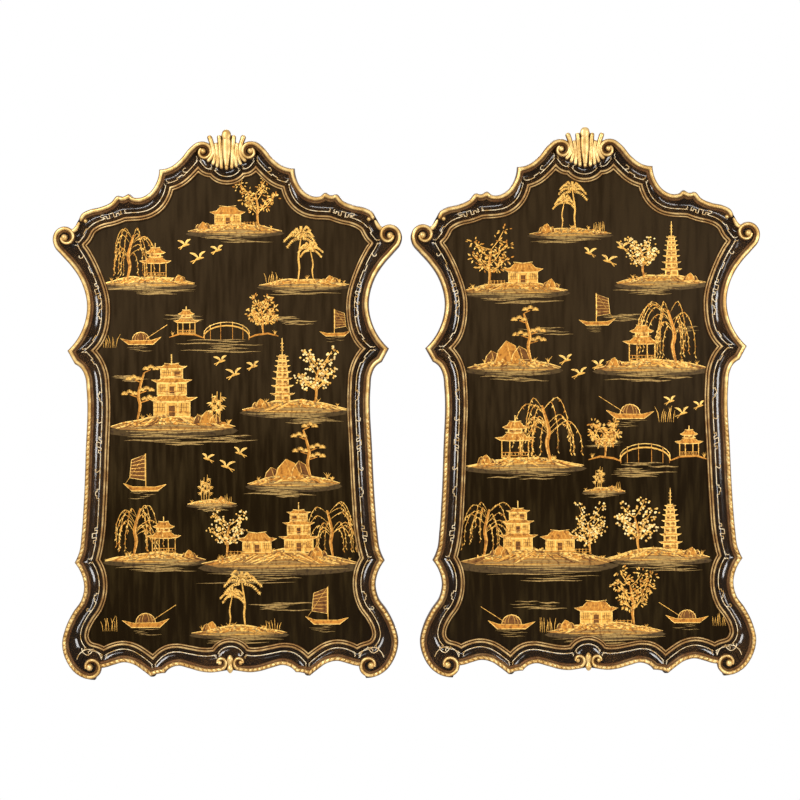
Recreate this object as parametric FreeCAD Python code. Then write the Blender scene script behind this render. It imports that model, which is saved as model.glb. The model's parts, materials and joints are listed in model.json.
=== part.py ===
import FreeCAD, Part
import math
import os

os.makedirs("parts", exist_ok=True)

# Overall sizes of one screen and of the pair, in millimetres
SCREEN_WIDTH = 776.0
SCREEN_HEIGHT = 1220.0
SCREEN_GAP = 19.0

# Section of the frame moulding, depths counted forward from the back of the rails
MOULDING_WIDTH = 40.5
BEAD_WIDTH = 16.0
BEAD_SIDE = 6.0
BEAD_HEIGHT = 13.0
SEAT_DEPTH = 22.0
COVE_WIDTH = 20.0
COVE_FLOOR = 14.0
COVE_FLOOR_SHARE = 0.6
FILLET_WIDTH = 4.5
LIP_DEPTH = 17.0
REBATE_WIDTH = 7.0

# Panel and boards
PANEL_THICKNESS = 12.0
PANEL_CLEARANCE = 0.5
BOARD_THICKNESS = 3.0
BOARD_MARGIN = 5.0

# Gilt sight moulding that frames the panel
SIGHT_GAP = 0.2
SIGHT_BEAD_WIDTH = 6.0
SIGHT_BEAD_SPRING = 18.5
SIGHT_BEAD_TOP = 21.0
SIGHT_STEP_WIDTH = 5.0
SIGHT_STEP_SPRING = 15.5
SIGHT_STEP_TOP = 17.5

# Volutes of the bead: radius at the start, turn in degrees, radius of the ball at the heart
VOLUTE_TURN_SHARE = 0.42
VOLUTE_STEP = 20.0
VOLUTE_END_SHARE = 0.5
EYE_PLACE_SHARE = 0.6
CREST_VOLUTE_RADIUS = 17.5
CREST_VOLUTE_TURN = 340.0
CREST_EYE = 5.0
SHOULDER_VOLUTE_RADIUS = 22.5
SHOULDER_VOLUTE_TURN = 380.0
SHOULDER_EYE = 5.4
FOOT_VOLUTE_RADIUS = 22.0
FOOT_VOLUTE_TURN = 320.0
FOOT_EYE = 6.4
CLASP_CURL_RADIUS = 12.0
CLASP_CURL_TURN = 260.0
CLASP_EYE = 4.0
LEAF_WIDTH = 10.0
LEAF_HEIGHT = 10.0

# Widths of the bead where it narrows to a curl, as shares of its full width, and the rows of that taper
CREST_TAPER_SHARE = 0.62
SHOULDER_TAPER_SHARE = 0.80
FOOT_TAPER_SHARE = 0.74
CLASP_TAPER_SHARE = 0.64
TAPER_ROWS = 4

# The bottom bead starts clear of the foot volute, at a share of its first span
BOTTOM_BEAD_START_SHARE = 0.24

# Carved shell on the crest
SHELL_SIDE_GAP = 11.2
SHELL_RISE = 89.0
SHELL_PLATE = 5.0
SHELL_RIB_RISE = 12.0
SHELL_CENTRE_RISE = 17.0

# Carved clasp at the foot of the frame
CLASP_RISE = 40.0
CLASP_FOOT = 14.0
CLASP_WIDTH = 12.0
CLASP_THICKNESS = 14.0

# Joinery and fixings
DOWEL_RADIUS = 3.0
DOWEL_LENGTH = 30.0
DOWEL_DEPTH = 7.0
DOWEL_SHARES = (0.50, 0.83)
FIT_CLEARANCE = 0.1
SCREW_RADIUS = 1.75
SCREW_REACH = 10.0
SCREW_HEAD_RADIUS = 3.6
SCREW_HEAD_HEIGHT = 2.2
SCREW_INSET = 20.0

# Hanging hardware
STRAP_WIDTH = 15.0
STRAP_THICKNESS = 1.5
STRAP_LENGTH = 58.0
STRAP_SCREW_FIRST = 32.0
STRAP_SCREW_SECOND = 50.0
STRAP_INSET = 17.0
HANGER_RISE = 22.0
EYE_BORE = 2.1
RING_WIRE = 1.75
RING_INSIDE_WIDTH = 20.0
RING_INSIDE_HEIGHT = 16.0
RING_CORNER = 3.5

# Wall pads
PAD_RADIUS = 11.0
PAD_THICKNESS = 8.0
PAD_ROUND = 1.5
PAD_INSET = 25.0

WALL_GAP = BOARD_THICKNESS + PAD_THICKNESS
HALF_WIDTH = SCREEN_WIDTH / 2
SCREEN_PITCH = SCREEN_WIDTH + SCREEN_GAP
HALF = 0.5
QUARTER_TURN = 90.0
HALF_TURN = 180.0
FULL_TURN = 360.0
NEAR = 1e-6
SEW_REACH = 1e-3
SLOPE_STEP = 1e-3
PULL_SHARE = 2 / 3
DOME_SHARE = 3 / 4
FINE_STEPS = 24
LEAST_RUNGS = 4
RUNG_STEP = 9.0
SMOOTH_REACH = 9.0

# Right half of the outline from the crest to the foot. Each row has a name where one is needed, the outer
# edge as shares of the half width and the height, the way in to the sight edge as shares of the moulding
# width, and the edges that turn a corner there: o for the outer edge, i for the sight edge.
OUTLINE_SHARES = (
    ("crest centre", 0.000, 0.9690, 0.00, -1.80, ""),
    ("", 0.052, 0.9710, -0.05, -1.77, ""),
    ("lobe end", 0.103, 0.9760, -0.14, -1.60, "i"),
    ("crest volute", 0.137, 0.9795, -0.06, -1.62, ""),
    ("lobe peak", 0.168, 0.9780, -0.03, -1.25, "i"),
    ("", 0.211, 0.9680, -0.05, -1.38, ""),
    ("", 0.268, 0.9467, -0.05, -1.20, ""),
    ("screw", 0.327, 0.9328, -0.27, -0.95, ""),
    ("crest cusp", 0.388, 0.9290, -0.53, -0.93, "oi"),
    ("", 0.407, 0.9033, -0.60, -0.57, ""),
    ("", 0.446, 0.8861, -0.59, -0.69, ""),
    ("", 0.497, 0.8779, -0.49, -0.85, ""),
    ("", 0.531, 0.8783, -0.22, -1.00, ""),
    ("", 0.563, 0.8848, -0.06, -1.22, ""),
    ("crest valley", 0.593, 0.8799, 0.00, -1.10, "i"),
    ("", 0.628, 0.8816, -0.01, -1.28, ""),
    ("", 0.665, 0.8697, -0.05, -1.02, ""),
    ("screw", 0.727, 0.8611, -0.22, -0.85, ""),
    ("", 0.789, 0.8566, -0.37, -0.89, ""),
    ("", 0.832, 0.8492, -0.49, -0.89, ""),
    ("crest curl", 0.854, 0.8369, -0.56, -0.78, ""),
    ("neck", 0.890, 0.8213, -0.74, -0.58, ""),
    ("", 0.932, 0.8262, -1.05, -0.82, ""),
    ("", 0.976, 0.8196, -1.40, -0.68, ""),
    ("shoulder joint", 1.000, 0.8041, -1.55, -0.32, "i"),
    ("", 0.991, 0.7895, -1.52, -0.05, ""),
    ("", 0.951, 0.7738, -1.26, 0.27, ""),
    ("upper pad", 0.899, 0.7553, -0.99, 0.44, ""),
    ("", 0.848, 0.7311, -0.88, 0.38, ""),
    ("hanger", 0.807, 0.6787, -0.99, 0.00, ""),
    ("screw", 0.852, 0.6275, -0.91, -0.49, ""),
    ("waist cusp", 0.921, 0.6000, -1.23, 0.00, "oi"),
    ("waist knuckle", 0.879, 0.5754, -1.21, 0.30, "o"),
    ("", 0.845, 0.5676, -1.05, 0.23, ""),
    ("", 0.821, 0.5520, -1.00, 0.16, ""),
    ("screw", 0.813, 0.5287, -1.00, 0.00, ""),
    ("screw", 0.821, 0.4098, -1.00, 0.00, ""),
    ("", 0.834, 0.3197, -1.00, 0.00, ""),
    ("screw", 0.847, 0.2664, -1.01, 0.00, ""),
    ("", 0.862, 0.2328, -1.01, 0.12, ""),
    ("lower cusp", 0.888, 0.2139, -1.11, 0.12, "oi"),
    ("", 0.850, 0.1934, -0.99, 0.28, ""),
    ("screw", 0.835, 0.1705, -1.01, 0.00, ""),
    ("", 0.853, 0.1447, -0.89, -0.43, ""),
    ("", 0.897, 0.1246, -0.89, -0.43, ""),
    ("", 0.943, 0.0951, -1.06, -0.10, ""),
    ("lower pad", 0.963, 0.0672, -1.19, 0.30, ""),
    ("", 0.938, 0.0344, -1.05, 1.01, ""),
    ("foot joint", 0.889, 0.0131, -0.76, 1.454, "i"),
    ("foot curl", 0.820, 0.0016, -0.20, 1.758, ""),
    ("foot toe", 0.776, 0.0000, 0.12, 1.77, "o"),
    ("foot heel", 0.747, 0.0213, 0.17, 1.07, "o"),
    ("bottom start", 0.711, 0.0230, 0.14, 0.84, "i"),
    ("", 0.665, 0.0275, 0.10, 0.93, ""),
    ("screw", 0.611, 0.0316, 0.07, 0.91, ""),
    ("", 0.549, 0.0270, 0.00, 0.91, ""),
    ("", 0.500, 0.0164, -0.02, 0.94, ""),
    ("bottom cusp", 0.456, 0.0053, -0.12, 0.86, "oi"),
    ("", 0.420, 0.0098, -0.02, 0.99, ""),
    ("bottom step", 0.374, 0.0115, 0.15, 1.15, "o"),
    ("", 0.348, 0.0197, 0.10, 1.04, ""),
    ("screw", 0.302, 0.0246, 0.02, 0.95, ""),
    ("", 0.237, 0.0201, 0.00, 0.98, ""),
    ("", 0.168, 0.0139, 0.02, 1.05, ""),
    ("", 0.111, 0.0119, 0.12, 1.09, ""),
    ("lobe foot", 0.072, 0.0131, 0.17, 1.10, "i"),
    ("clasp curl", 0.045, 0.0145, 0.19, 1.33, ""),
    ("bottom centre", 0.000, 0.0164, 0.00, 1.48, ""),
)

# Ribs of the shell: places as shares of its half width and rise, widths as shares of its half width
SHELL_RIB_SHARES = (
    ((0.26, 0.05, 0.16), (0.31, 0.24, 0.18), (0.335, 0.45, 0.19), (0.35, 0.68, 0.19), (0.37, 0.85, 0.17)),
    ((0.46, 0.11, 0.16), (0.47, 0.28, 0.18), (0.485, 0.47, 0.18), (0.51, 0.62, 0.18), (0.56, 0.71, 0.15)),
    ((0.64, 0.17, 0.16), (0.61, 0.31, 0.17), (0.61, 0.46, 0.17), (0.63, 0.58, 0.15)),
    ((0.95, 0.25, 0.16), (0.76, 0.34, 0.16), (0.68, 0.47, 0.15), (0.73, 0.62, 0.16), (0.92, 0.82, 0.16)),
)
SHELL_CENTRE_SHARES = (
    (0.00, 0.03, 0.24), (0.00, 0.14, 0.28), (0.00, 0.30, 0.42),
    (0.00, 0.55, 0.50), (0.00, 0.78, 0.48), (0.00, 0.90, 0.40),
)
SHELL_PLATE_SHARES = (
    (0.00, 0.10), (0.45, 0.19), (0.72, 0.31), (0.60, 0.46), (0.54, 0.60), (0.36, 0.74), (0.20, 0.90),
    (0.00, 0.95),
)
ROUND_END_SHARES = ((0.0, 1.0), (0.33, 0.94), (0.67, 0.74), (1.0, 0.16))
CLASP_SHARES = (
    (0.00, 0.25), (0.12, 0.80), (0.25, 1.00), (0.45, 0.66), (0.70, 1.00), (0.86, 0.85), (1.00, 0.28),
)
LEAF_SHARES = ((0.34, 0.35), (0.50, 0.80), (0.75, 1.0), (1.00, 0.9), (1.20, 0.55))


def place(x, depth, z):
    """A point from its distance off the centre line, its depth before the rails' back and its height."""
    return FreeCAD.Vector(x, -(WALL_GAP + depth), z - HANG_HEIGHT)


def add(a, b, scale=1.0):
    """The plane point a moved by b times a scale."""
    return (a[0] + b[0] * scale, a[1] + b[1] * scale)


def unit(a):
    """The plane direction of a, one long."""
    size = math.hypot(a[0], a[1])
    return (a[0] / size, a[1] / size)


def mix(a, b, share):
    """The plane point at a share of the way from a to b."""
    return (a[0] + (b[0] - a[0]) * share, a[1] + (b[1] - a[1]) * share)


def slopes(points, corners):
    """Slopes into and out of every point of a smooth line that breaks at its corners."""
    last = len(points) - 1
    runs = [math.dist(points[i], points[i + 1]) for i in range(last)]
    chords = [add(points[i + 1], points[i], -1.0) for i in range(last)]
    chords = [(c[0] / r, c[1] / r) for c, r in zip(chords, runs)]
    into = [None] * (last + 1)
    away = [None] * (last + 1)
    for i in range(1, last):
        if not corners[i]:
            share = runs[i - 1] / (runs[i - 1] + runs[i])
            into[i] = away[i] = mix(chords[i - 1], chords[i], share)
    away[0] = unit((chords[0][0], 0))
    into[last] = unit((chords[-1][0], 0))
    for i in range(1, last):
        if corners[i]:
            before = away[i - 1] or chords[i - 1]
            after = into[i + 1] or chords[i]
            into[i] = add(add(chords[i - 1], chords[i - 1]), before, -1.0)
            away[i] = add(add(chords[i], chords[i]), after, -1.0)
    return runs, into, away


def hermite(a, b, start, stop, size, u):
    """Point at a share of a span from its ends, its end slopes and its length."""
    v = 1.0 - u
    shares = (v * v * (1.0 + u + u), u * u * (1.0 + v + v), u * v * v * size, -u * u * v * size)
    return tuple(sum(w * p[k] for w, p in zip(shares, (a, b, start, stop))) for k in (0, 1))


def along(points, table, span, share):
    """Point and slope on a smooth line at a share of one of its spans."""
    runs, into, away = table
    frame = (points[span], points[span + 1], away[span], into[span + 1], runs[span])
    point = hermite(*frame, share)
    if share > HALF:
        return point, unit(add(point, hermite(*frame, share - SLOPE_STEP), -1.0))
    return point, unit(add(hermite(*frame, share + SLOPE_STEP), point, -1.0))


NAMES = [row[0] for row in OUTLINE_SHARES]
LAST = len(NAMES) - 1
OUTER = [(row[1] * HALF_WIDTH, row[2] * SCREEN_HEIGHT) for row in OUTLINE_SHARES]
SIGHT = [add(OUTER[i], (row[3], row[4]), MOULDING_WIDTH) for i, row in enumerate(OUTLINE_SHARES)]
OUTER_CORNERS = ["o" in row[5] for row in OUTLINE_SHARES]
SIGHT_CORNERS = ["i" in row[5] for row in OUTLINE_SHARES]
ALL_CORNERS = [a or b for a, b in zip(OUTER_CORNERS, SIGHT_CORNERS)]
OUTER_LINE = (OUTER, slopes(OUTER, OUTER_CORNERS), OUTER_CORNERS)
SIGHT_LINE = (SIGHT, slopes(SIGHT, SIGHT_CORNERS), SIGHT_CORNERS)
JOINTS = ("shoulder joint", "waist cusp", "lower cusp", "foot joint")
TAPERS = {"crest volute": CREST_TAPER_SHARE, "shoulder joint": SHOULDER_TAPER_SHARE,
          "foot curl": FOOT_TAPER_SHARE, "clasp curl": CLASP_TAPER_SHARE}


def knot(name):
    """The row number of a named place on the outline."""
    return NAMES.index(name)


# The rings hang a little above the narrowest place of the waist, and the shell fits between the volutes
HANG_HEIGHT = OUTER[knot("hanger")][1] + HANGER_RISE
SHELL_HALF_WIDTH = OUTER[knot("crest volute")][0] - SHELL_SIDE_GAP


def on_line(edge, key):
    """The point of an outer or sight line at a row number plus a share of the next span."""
    span = min(int(key + NEAR), LAST - 1)
    return along(edge[0], edge[1], span, min(1.0, max(0, key - span)))[0]


class Run:
    """A smooth run of the outer or sight line between two row numbers, measured along its length."""

    def __init__(self, edge, first, last):
        count = int(round((last - first) * FINE_STEPS))
        self.first, self.last = first, last
        self.keys = [first + (last - first) * step / count for step in range(count + 1)]
        self.spots = [on_line(edge, key) for key in self.keys]
        self.gone = [0]
        for a, b in zip(self.spots, self.spots[1:]):
            self.gone.append(self.gone[-1] + math.dist(a, b))
        self.total = self.gone[-1]

    def index(self, length):
        """The fine step that holds a length, the first or last one beyond the ends."""
        return min(len(self.gone) - 2, max([i for i, have in enumerate(self.gone) if have <= length] or [0]))

    def point(self, length):
        """The point at a length, on a straight line beyond the ends."""
        step = self.index(length)
        size = self.gone[step + 1] - self.gone[step]
        return mix(self.spots[step], self.spots[step + 1], (length - self.gone[step]) / size)

    def key(self, length):
        """The row number with share at a length."""
        step = self.index(length)
        share = (length - self.gone[step]) / (self.gone[step + 1] - self.gone[step])
        return self.keys[step] + (self.keys[step + 1] - self.keys[step]) * share

    def length(self, key):
        """The length at a row number with share."""
        place_at = (key - self.first) / (self.last - self.first) * (len(self.keys) - 1)
        step = min(len(self.keys) - 2, int(place_at + NEAR))
        return self.gone[step] + (self.gone[step + 1] - self.gone[step]) * (place_at - step)

    def normal(self, length):
        """The softened direction square to the run, towards the panel."""
        reach = min(SMOOTH_REACH, self.total * HALF)
        low = max(0, min(length - reach, self.total - reach))
        high = min(self.total, max(length + reach, reach))
        run = unit(add(self.point(high), self.point(low), -1.0))
        return (run[1], -run[0])


class Offset:
    """A run with a second line a width beside it, trimmed to the mitres at its corners."""

    def __init__(self, edge, rows, place_in, width):
        self.run = Run(edge, rows[place_in], rows[place_in + 1])
        self.width = width
        self.ends = []
        for row, beside, length in ((rows[place_in], place_in - 1, 0),
                                    (rows[place_in + 1], place_in + 1, self.run.total)):
            here = self.run.normal(length)
            other = here
            if 0 <= beside < len(rows) - 1:
                near = Run(edge, rows[beside], rows[beside + 1])
                other = near.normal(near.total if beside < place_in else 0)
            if row in (0, LAST):
                here = other = (0, unit((0, here[1]))[1])
            middle = unit(add(here, other))
            half = math.acos(min(1.0, middle[0] * here[0] + middle[1] * here[1]))
            before, after = (other, here) if length == 0 else (here, other)
            sense = -1.0 if before[0] * after[1] - before[1] * after[0] > 0 else 1.0
            self.ends.append((middle, half, sense * width * math.tan(half)))

    def pair(self, length, share=1.0):
        """The point at a length and the point beside it at a share of the width."""
        total = self.run.total
        for end, goal in ((0, 0), (1, total)):
            if abs(length - goal) < NEAR:
                way, half, trim = self.ends[end]
                spot = self.run.point(length)
                return spot, add(spot, way, self.width * share / math.cos(half))
        lead, tail = self.ends[0][2], self.ends[1][2]
        moved = lead + (total - lead - tail) * length / total
        beside = add(self.run.point(moved), self.run.normal(moved), self.width)
        spot = self.run.point(length)
        return spot, mix(spot, beside, share)


def even_lengths(total):
    """Evenly spaced lengths from nothing to a total."""
    count = max(LEAST_RUNGS, int(round(total / RUNG_STEP)))
    return [total * step / count for step in range(count + 1)]


def bead_half(key):
    """Half the width of the bead, which narrows towards its curls."""
    share = 1.0
    for name, least in TAPERS.items():
        reach = min(1.0, abs(key - knot(name)) / TAPER_ROWS)
        share = min(share, least + (1.0 - least) * reach)
    return BEAD_WIDTH * HALF * share


def inward(row, size):
    """The plane point a size in from the outer edge at a row, on the rung to the sight edge."""
    return add(OUTER[row], unit(add(SIGHT[row], OUTER[row], -1.0)), size)


def split_rows(first, last, corners):
    """Row numbers from first to last where the line breaks, the two ends among them."""
    inner = [row for row, corner in enumerate(corners) if corner and first < row < last]
    return [first] + inner + [last]


def line(a, b):
    """A straight edge between two points."""
    return Part.makeLine(a, b)


def bow(a, b, c):
    """Control points of a curve from a over b to c."""
    pull = b + b - (a + c) * HALF
    return [a, a + (pull - a) * PULL_SHARE, c + (pull - c) * PULL_SHARE, c]


def closed_wire(section):
    """The closed wire of a section, which is a list of strips of control points."""
    edges = []
    for strip in section:
        if len(strip) == 2:
            edges.append(line(*strip))
        else:
            curve = Part.BezierCurve()
            curve.setPoles(strip)
            edges.append(curve.toShape())
    return Part.Wire(edges)


def join(shapes):
    """One solid from shapes that meet or overlap."""
    if len(shapes) == 1:
        return shapes[0]
    return shapes[0].fuse(shapes[1:]).removeSplitter()


def skin(run):
    """The smooth faces through a run of sections, one face for each strip, open at both ends."""
    middles = []
    for section in run:
        spots = [strip[0] for strip in section]
        total = FreeCAD.Vector(0, 0, 0)
        for spot in spots:
            total = total + spot
        middles.append(total / len(spots))
    gone = [0]
    for a, b in zip(middles, middles[1:]):
        gone.append(gone[-1] + (b - a).Length)
    times = [have / gone[-1] for have in gone]
    faces = []
    for strip in range(len(run[0])):
        rows = []
        for spot in range(len(run[0][strip])):
            curve = Part.BSplineCurve()
            curve.interpolate(Points=[section[strip][spot] for section in run], Parameters=times)
            rows.append(curve)
        across = len(rows)
        surface = Part.BSplineSurface()
        surface.buildFromPolesMultsKnots([curve.getPoles() for curve in rows], [across, across],
                                         rows[0].getMultiplicities(), [0, 1], rows[0].getKnots(),
                                         False, False, across - 1, rows[0].Degree)
        faces.append(surface.toShape())
    return faces


def sewn(faces):
    """One solid from faces that share their edges."""
    cloth = Part.makeCompound(faces)
    cloth.sewShape(SEW_REACH)
    solid = Part.makeSolid(cloth.Shells[0])
    if solid.Volume < 0:
        solid.reverse()
    return solid


def chained(runs, doubled):
    """One solid from runs of sections laid end to end, mirrored over the centre line if doubled."""
    faces = [face for run in runs for face in skin(run)]
    caps = [Part.Face(closed_wire(runs[-1][-1]))]
    if doubled:
        faces = faces + caps
        return sewn(faces + [mirrored(face) for face in faces])
    return sewn(faces + caps + [Part.Face(closed_wire(runs[0][0]))])


def mirrored(shape):
    """The same shape on the other side of the centre line."""
    return shape.mirror(FreeCAD.Vector(0, 0, 0), FreeCAD.Vector(1, 0, 0))


def at(point, depth):
    """A plane point at a depth."""
    return place(point[0], depth, point[1])


def rail_section(rung):
    """Closed section of a rail: outer wall, bead seat, cove, lip and rebate."""
    outer, sight, cove_start = rung
    whole = FILLET_WIDTH + COVE_WIDTH
    cove_end = mix(sight, cove_start, FILLET_WIDTH / whole)
    cove_mid = mix(cove_start, cove_end, COVE_FLOOR_SHARE)
    rebate = mix(sight, cove_start, REBATE_WIDTH / whole)
    back = at(outer, 0)
    front = at(outer, SEAT_DEPTH)
    seat_end = at(cove_start, SEAT_DEPTH)
    lip_start = at(cove_end, LIP_DEPTH)
    lip_end = at(sight, LIP_DEPTH)
    lip_under = at(sight, PANEL_THICKNESS)
    rebate_top = at(rebate, PANEL_THICKNESS)
    rebate_back = at(rebate, 0)
    return [[back, front], [front, seat_end], bow(seat_end, at(cove_mid, COVE_FLOOR), lip_start),
            [lip_start, lip_end], [lip_end, lip_under], [lip_under, rebate_top],
            [rebate_top, rebate_back], [rebate_back, back]]


def rail_rungs(rows, place_in):
    """Rungs of a rail on one run: outer point, sight point and the point where the cove starts."""
    first, last = rows[place_in], rows[place_in + 1]
    outer = Run(OUTER_LINE, first, last)
    sight_rows = split_rows(0, LAST, SIGHT_CORNERS)
    home = max(i for i, row in enumerate(sight_rows[:-1]) if row <= first)
    cove = Offset(SIGHT_LINE, sight_rows, home, -(FILLET_WIDTH + COVE_WIDTH))
    inner = Run(SIGHT_LINE, first, last)
    keys = outer.keys
    mean = [(a + b) * HALF for a, b in zip(outer.gone, inner.gone)]
    rungs = []
    for goal in even_lengths(mean[-1]):
        step = min(len(mean) - 2, max(i for i, have in enumerate(mean) if have <= goal + NEAR))
        share = (goal - mean[step]) / (mean[step + 1] - mean[step])
        key = keys[step] + (keys[step + 1] - keys[step]) * share
        spot, beside = cove.pair(cove.run.length(key))
        rungs.append((outer.point(outer.length(key)), spot, beside))
    for end, row in ((0, first), (-1, last)):
        if NAMES[row] in JOINTS or row in (0, LAST):
            spot, beside = cove.pair(cove.run.length(row))
            way = unit(add(OUTER[row], SIGHT[row], -1.0))
            rungs[end] = (OUTER[row], SIGHT[row], add(SIGHT[row], way, math.dist(spot, beside)))
    return rungs


def sight_section(pair):
    """Closed section of the sight moulding: a bead and a lower step that lie on the panel."""
    whole = SIGHT_BEAD_WIDTH + SIGHT_STEP_WIDTH
    start = mix(*pair, SIGHT_GAP / whole)
    middle = mix(*pair, SIGHT_BEAD_WIDTH / whole)
    stop = pair[1]
    foot = at(start, PANEL_THICKNESS)
    spring = at(start, SIGHT_BEAD_SPRING)
    bead_end = at(middle, SIGHT_BEAD_SPRING)
    step_start = at(middle, SIGHT_STEP_SPRING)
    step_end = at(stop, SIGHT_STEP_SPRING)
    toe = at(stop, PANEL_THICKNESS)
    return [[foot, spring], bow(spring, at(mix(start, middle, HALF), SIGHT_BEAD_TOP), bead_end),
            [bead_end, step_start], bow(step_start, at(mix(middle, stop, HALF), SIGHT_STEP_TOP), step_end),
            [step_end, toe], [toe, foot]]


def sight_rungs(rows, place_in):
    """Places on the sight edge with the places across the moulding, mitred at the corners."""
    everything = split_rows(0, LAST, SIGHT_CORNERS)
    width = SIGHT_BEAD_WIDTH + SIGHT_STEP_WIDTH
    band = Offset(SIGHT_LINE, everything, everything.index(rows[place_in]), width)
    return [band.pair(length) for length in even_lengths(band.run.total)]


def round_section(centre, way, half, side, rise, ground):
    """Closed section of a bead: flat back, short straight sides and a round top."""
    a = add(centre, way, -half)
    b = add(centre, way, half)
    crown = ground + side + (rise - side) / DOME_SHARE
    dome = [at(a, ground + side), at(a, crown), at(b, crown), at(b, ground + side)]
    return [[at(a, ground), at(a, ground + side)], dome, [at(b, ground + side), at(b, ground)],
            [at(b, ground), at(a, ground)]]


def bead_section(pair):
    """Section of the outer bead between its outer side and its inner side."""
    half = math.dist(*pair) * HALF
    lean = min(1.0, half / (BEAD_WIDTH * HALF))
    rise = BEAD_SIDE + (BEAD_HEIGHT - BEAD_SIDE) * lean
    way = unit(add(pair[1], pair[0], -1.0))
    return round_section(mix(*pair, HALF), way, half, BEAD_SIDE, rise, SEAT_DEPTH)


def bead_rungs(rows, place_in):
    """Places on the outer edge with the places across the bead, mitred at the corners."""
    band = Offset(OUTER_LINE, rows, place_in, BEAD_WIDTH)
    return [band.pair(length, bead_half(band.run.key(length)) / (BEAD_WIDTH * HALF))
            for length in even_lengths(band.run.total)]


def volute(pair, backward, radius, turn, eye):
    """Sections of a bead that curls inward from its end, and the ball at its heart."""
    full = math.dist(*pair) * HALF
    start = mix(*pair, HALF)
    way = unit(add(pair[1], pair[0], -1.0))
    travel = (way[1], -way[0]) if backward else (-way[1], way[0])
    heart = add(start, way, radius)
    spoke = (-way[0], -way[1])
    sense = 1.0 if spoke[0] * travel[1] - spoke[1] * travel[0] > 0 else -1.0
    sections = []
    steps = int(turn // VOLUTE_STEP)
    end = heart
    for step in range(1, steps + 1):
        angle = math.radians(VOLUTE_STEP * step) * sense
        swung = (spoke[0] * math.cos(angle) - spoke[1] * math.sin(angle),
                 spoke[0] * math.sin(angle) + spoke[1] * math.cos(angle))
        share = VOLUTE_STEP * step / turn
        reach = radius * VOLUTE_TURN_SHARE ** (VOLUTE_STEP * step / FULL_TURN)
        half = full * (1.0 - (1.0 - VOLUTE_END_SHARE) * share)
        end = add(heart, swung, reach)
        lean = half / (BEAD_WIDTH * HALF)
        rise = BEAD_SIDE + (BEAD_HEIGHT - BEAD_SIDE) * lean
        sections.append(round_section(end, (-swung[0], -swung[1]), half, BEAD_SIDE, rise, SEAT_DEPTH))
    centre = mix(end, heart, EYE_PLACE_SHARE)
    ball = Part.makeSphere(eye, at(centre, SEAT_DEPTH + BEAD_SIDE + eye * HALF))
    post = Part.makeCylinder(eye, BEAD_SIDE + eye * HALF, at(centre, SEAT_DEPTH), FreeCAD.Vector(0, -1, 0))
    return sections, join([post, ball])


def rounded_end(pair):
    """Sections that close a bead with a round end beyond its last rung."""
    half = math.dist(*pair) * HALF
    start = mix(*pair, HALF)
    way = unit(add(pair[1], pair[0], -1.0))
    travel = (-way[1], way[0])
    closed = []
    for reach, width in ROUND_END_SHARES[1:]:
        rise = BEAD_SIDE + (BEAD_HEIGHT - BEAD_SIDE) * width
        centre = add(start, travel, half * reach)
        closed.append(round_section(centre, way, half * width, BEAD_SIDE, rise, SEAT_DEPTH))
    return closed


def spindle(rows, base, half_width, rise, height, ground):
    """A tapering carved rib through plane places with widths, round at both ends."""
    spots = [((base[0] + row[0] * half_width, base[1] + row[1] * rise), row[2] * half_width) for row in rows]
    sections = []
    for i, (spot, width) in enumerate(spots):
        before = spots[max(0, i - 1)][0]
        after = spots[min(len(spots) - 1, i + 1)][0]
        run = unit(add(after, before, -1.0))
        way = (-run[1], run[0])
        ends = [(0, 1.0)]
        if i == 0:
            ends = [(-reach, narrow) for reach, narrow in reversed(ROUND_END_SHARES)]
        if i == len(spots) - 1:
            ends = list(ROUND_END_SHARES)
        for reach, narrow in ends:
            half = width * HALF * narrow
            tall = height * (HALF + HALF * narrow)
            sections.append(round_section(add(spot, run, reach * width * HALF), way, half, tall - half * HALF,
                                          tall, ground))
    return chained([sections], False)


def make_rail(first, last, doubled=False):
    """A rail from one row number to another, lofted in runs that break at the corners."""
    return make_moulding(rail_section, rail_rungs, ALL_CORNERS, first, last, doubled)


def make_sight(first, last, doubled=False):
    """A length of sight moulding from one row number to another."""
    return make_moulding(sight_section, sight_rungs, SIGHT_CORNERS, first, last, doubled)


def make_moulding(section, places, corners, first, last, doubled):
    """A moulding of one section; a doubled one starts at the centre line and has two mirrored halves."""
    rows = split_rows(min(first, last), max(first, last), corners)
    runs = [[section(spot) for spot in places(rows, i)] for i in range(len(rows) - 1)]
    if first > last:
        runs = [list(reversed(run)) for run in reversed(runs)]
    return chained(runs, doubled)


def make_bead(first, last, lead=None, tail=None, leaf=()):
    """A bead from one row number to another; lead and tail are the radius, turn and ball of its curls."""
    rows = split_rows(first, last, OUTER_CORNERS)
    pairs = [bead_rungs(rows, i) for i in range(len(rows) - 1)]
    runs = [[bead_section(pair) for pair in run] for run in pairs]
    balls = []
    head = runs[0][0]
    if lead:
        curl, ball = volute(pairs[0][0], True, *lead)
        runs.insert(0, list(reversed(curl)) + [head])
        balls.append(ball)
    if tail:
        curl, ball = volute(pairs[-1][-1], False, *tail)
        runs.append([runs[-1][-1]] + curl)
        balls.append(ball)
    else:
        runs.append([runs[-1][-1]] + rounded_end(pairs[-1][-1]))
    return join([chained(runs, False)] + balls + list(leaf))


def outline_solid(points_of, depth, thickness):
    """A board whose edge runs through points of each run of the outline."""
    edges = []
    rows = split_rows(0, LAST, ALL_CORNERS)
    for i in range(len(rows) - 1):
        curve = Part.BSplineCurve()
        curve.interpolate([at(spot, depth) for spot in points_of(rows, i)])
        edges.append(curve.toShape())
    edges = edges + [mirrored(edge) for edge in edges]
    wire = Part.Wire(Part.__sortEdges__(edges))
    return Part.Face(wire).extrude(FreeCAD.Vector(0, -thickness, 0))


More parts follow.
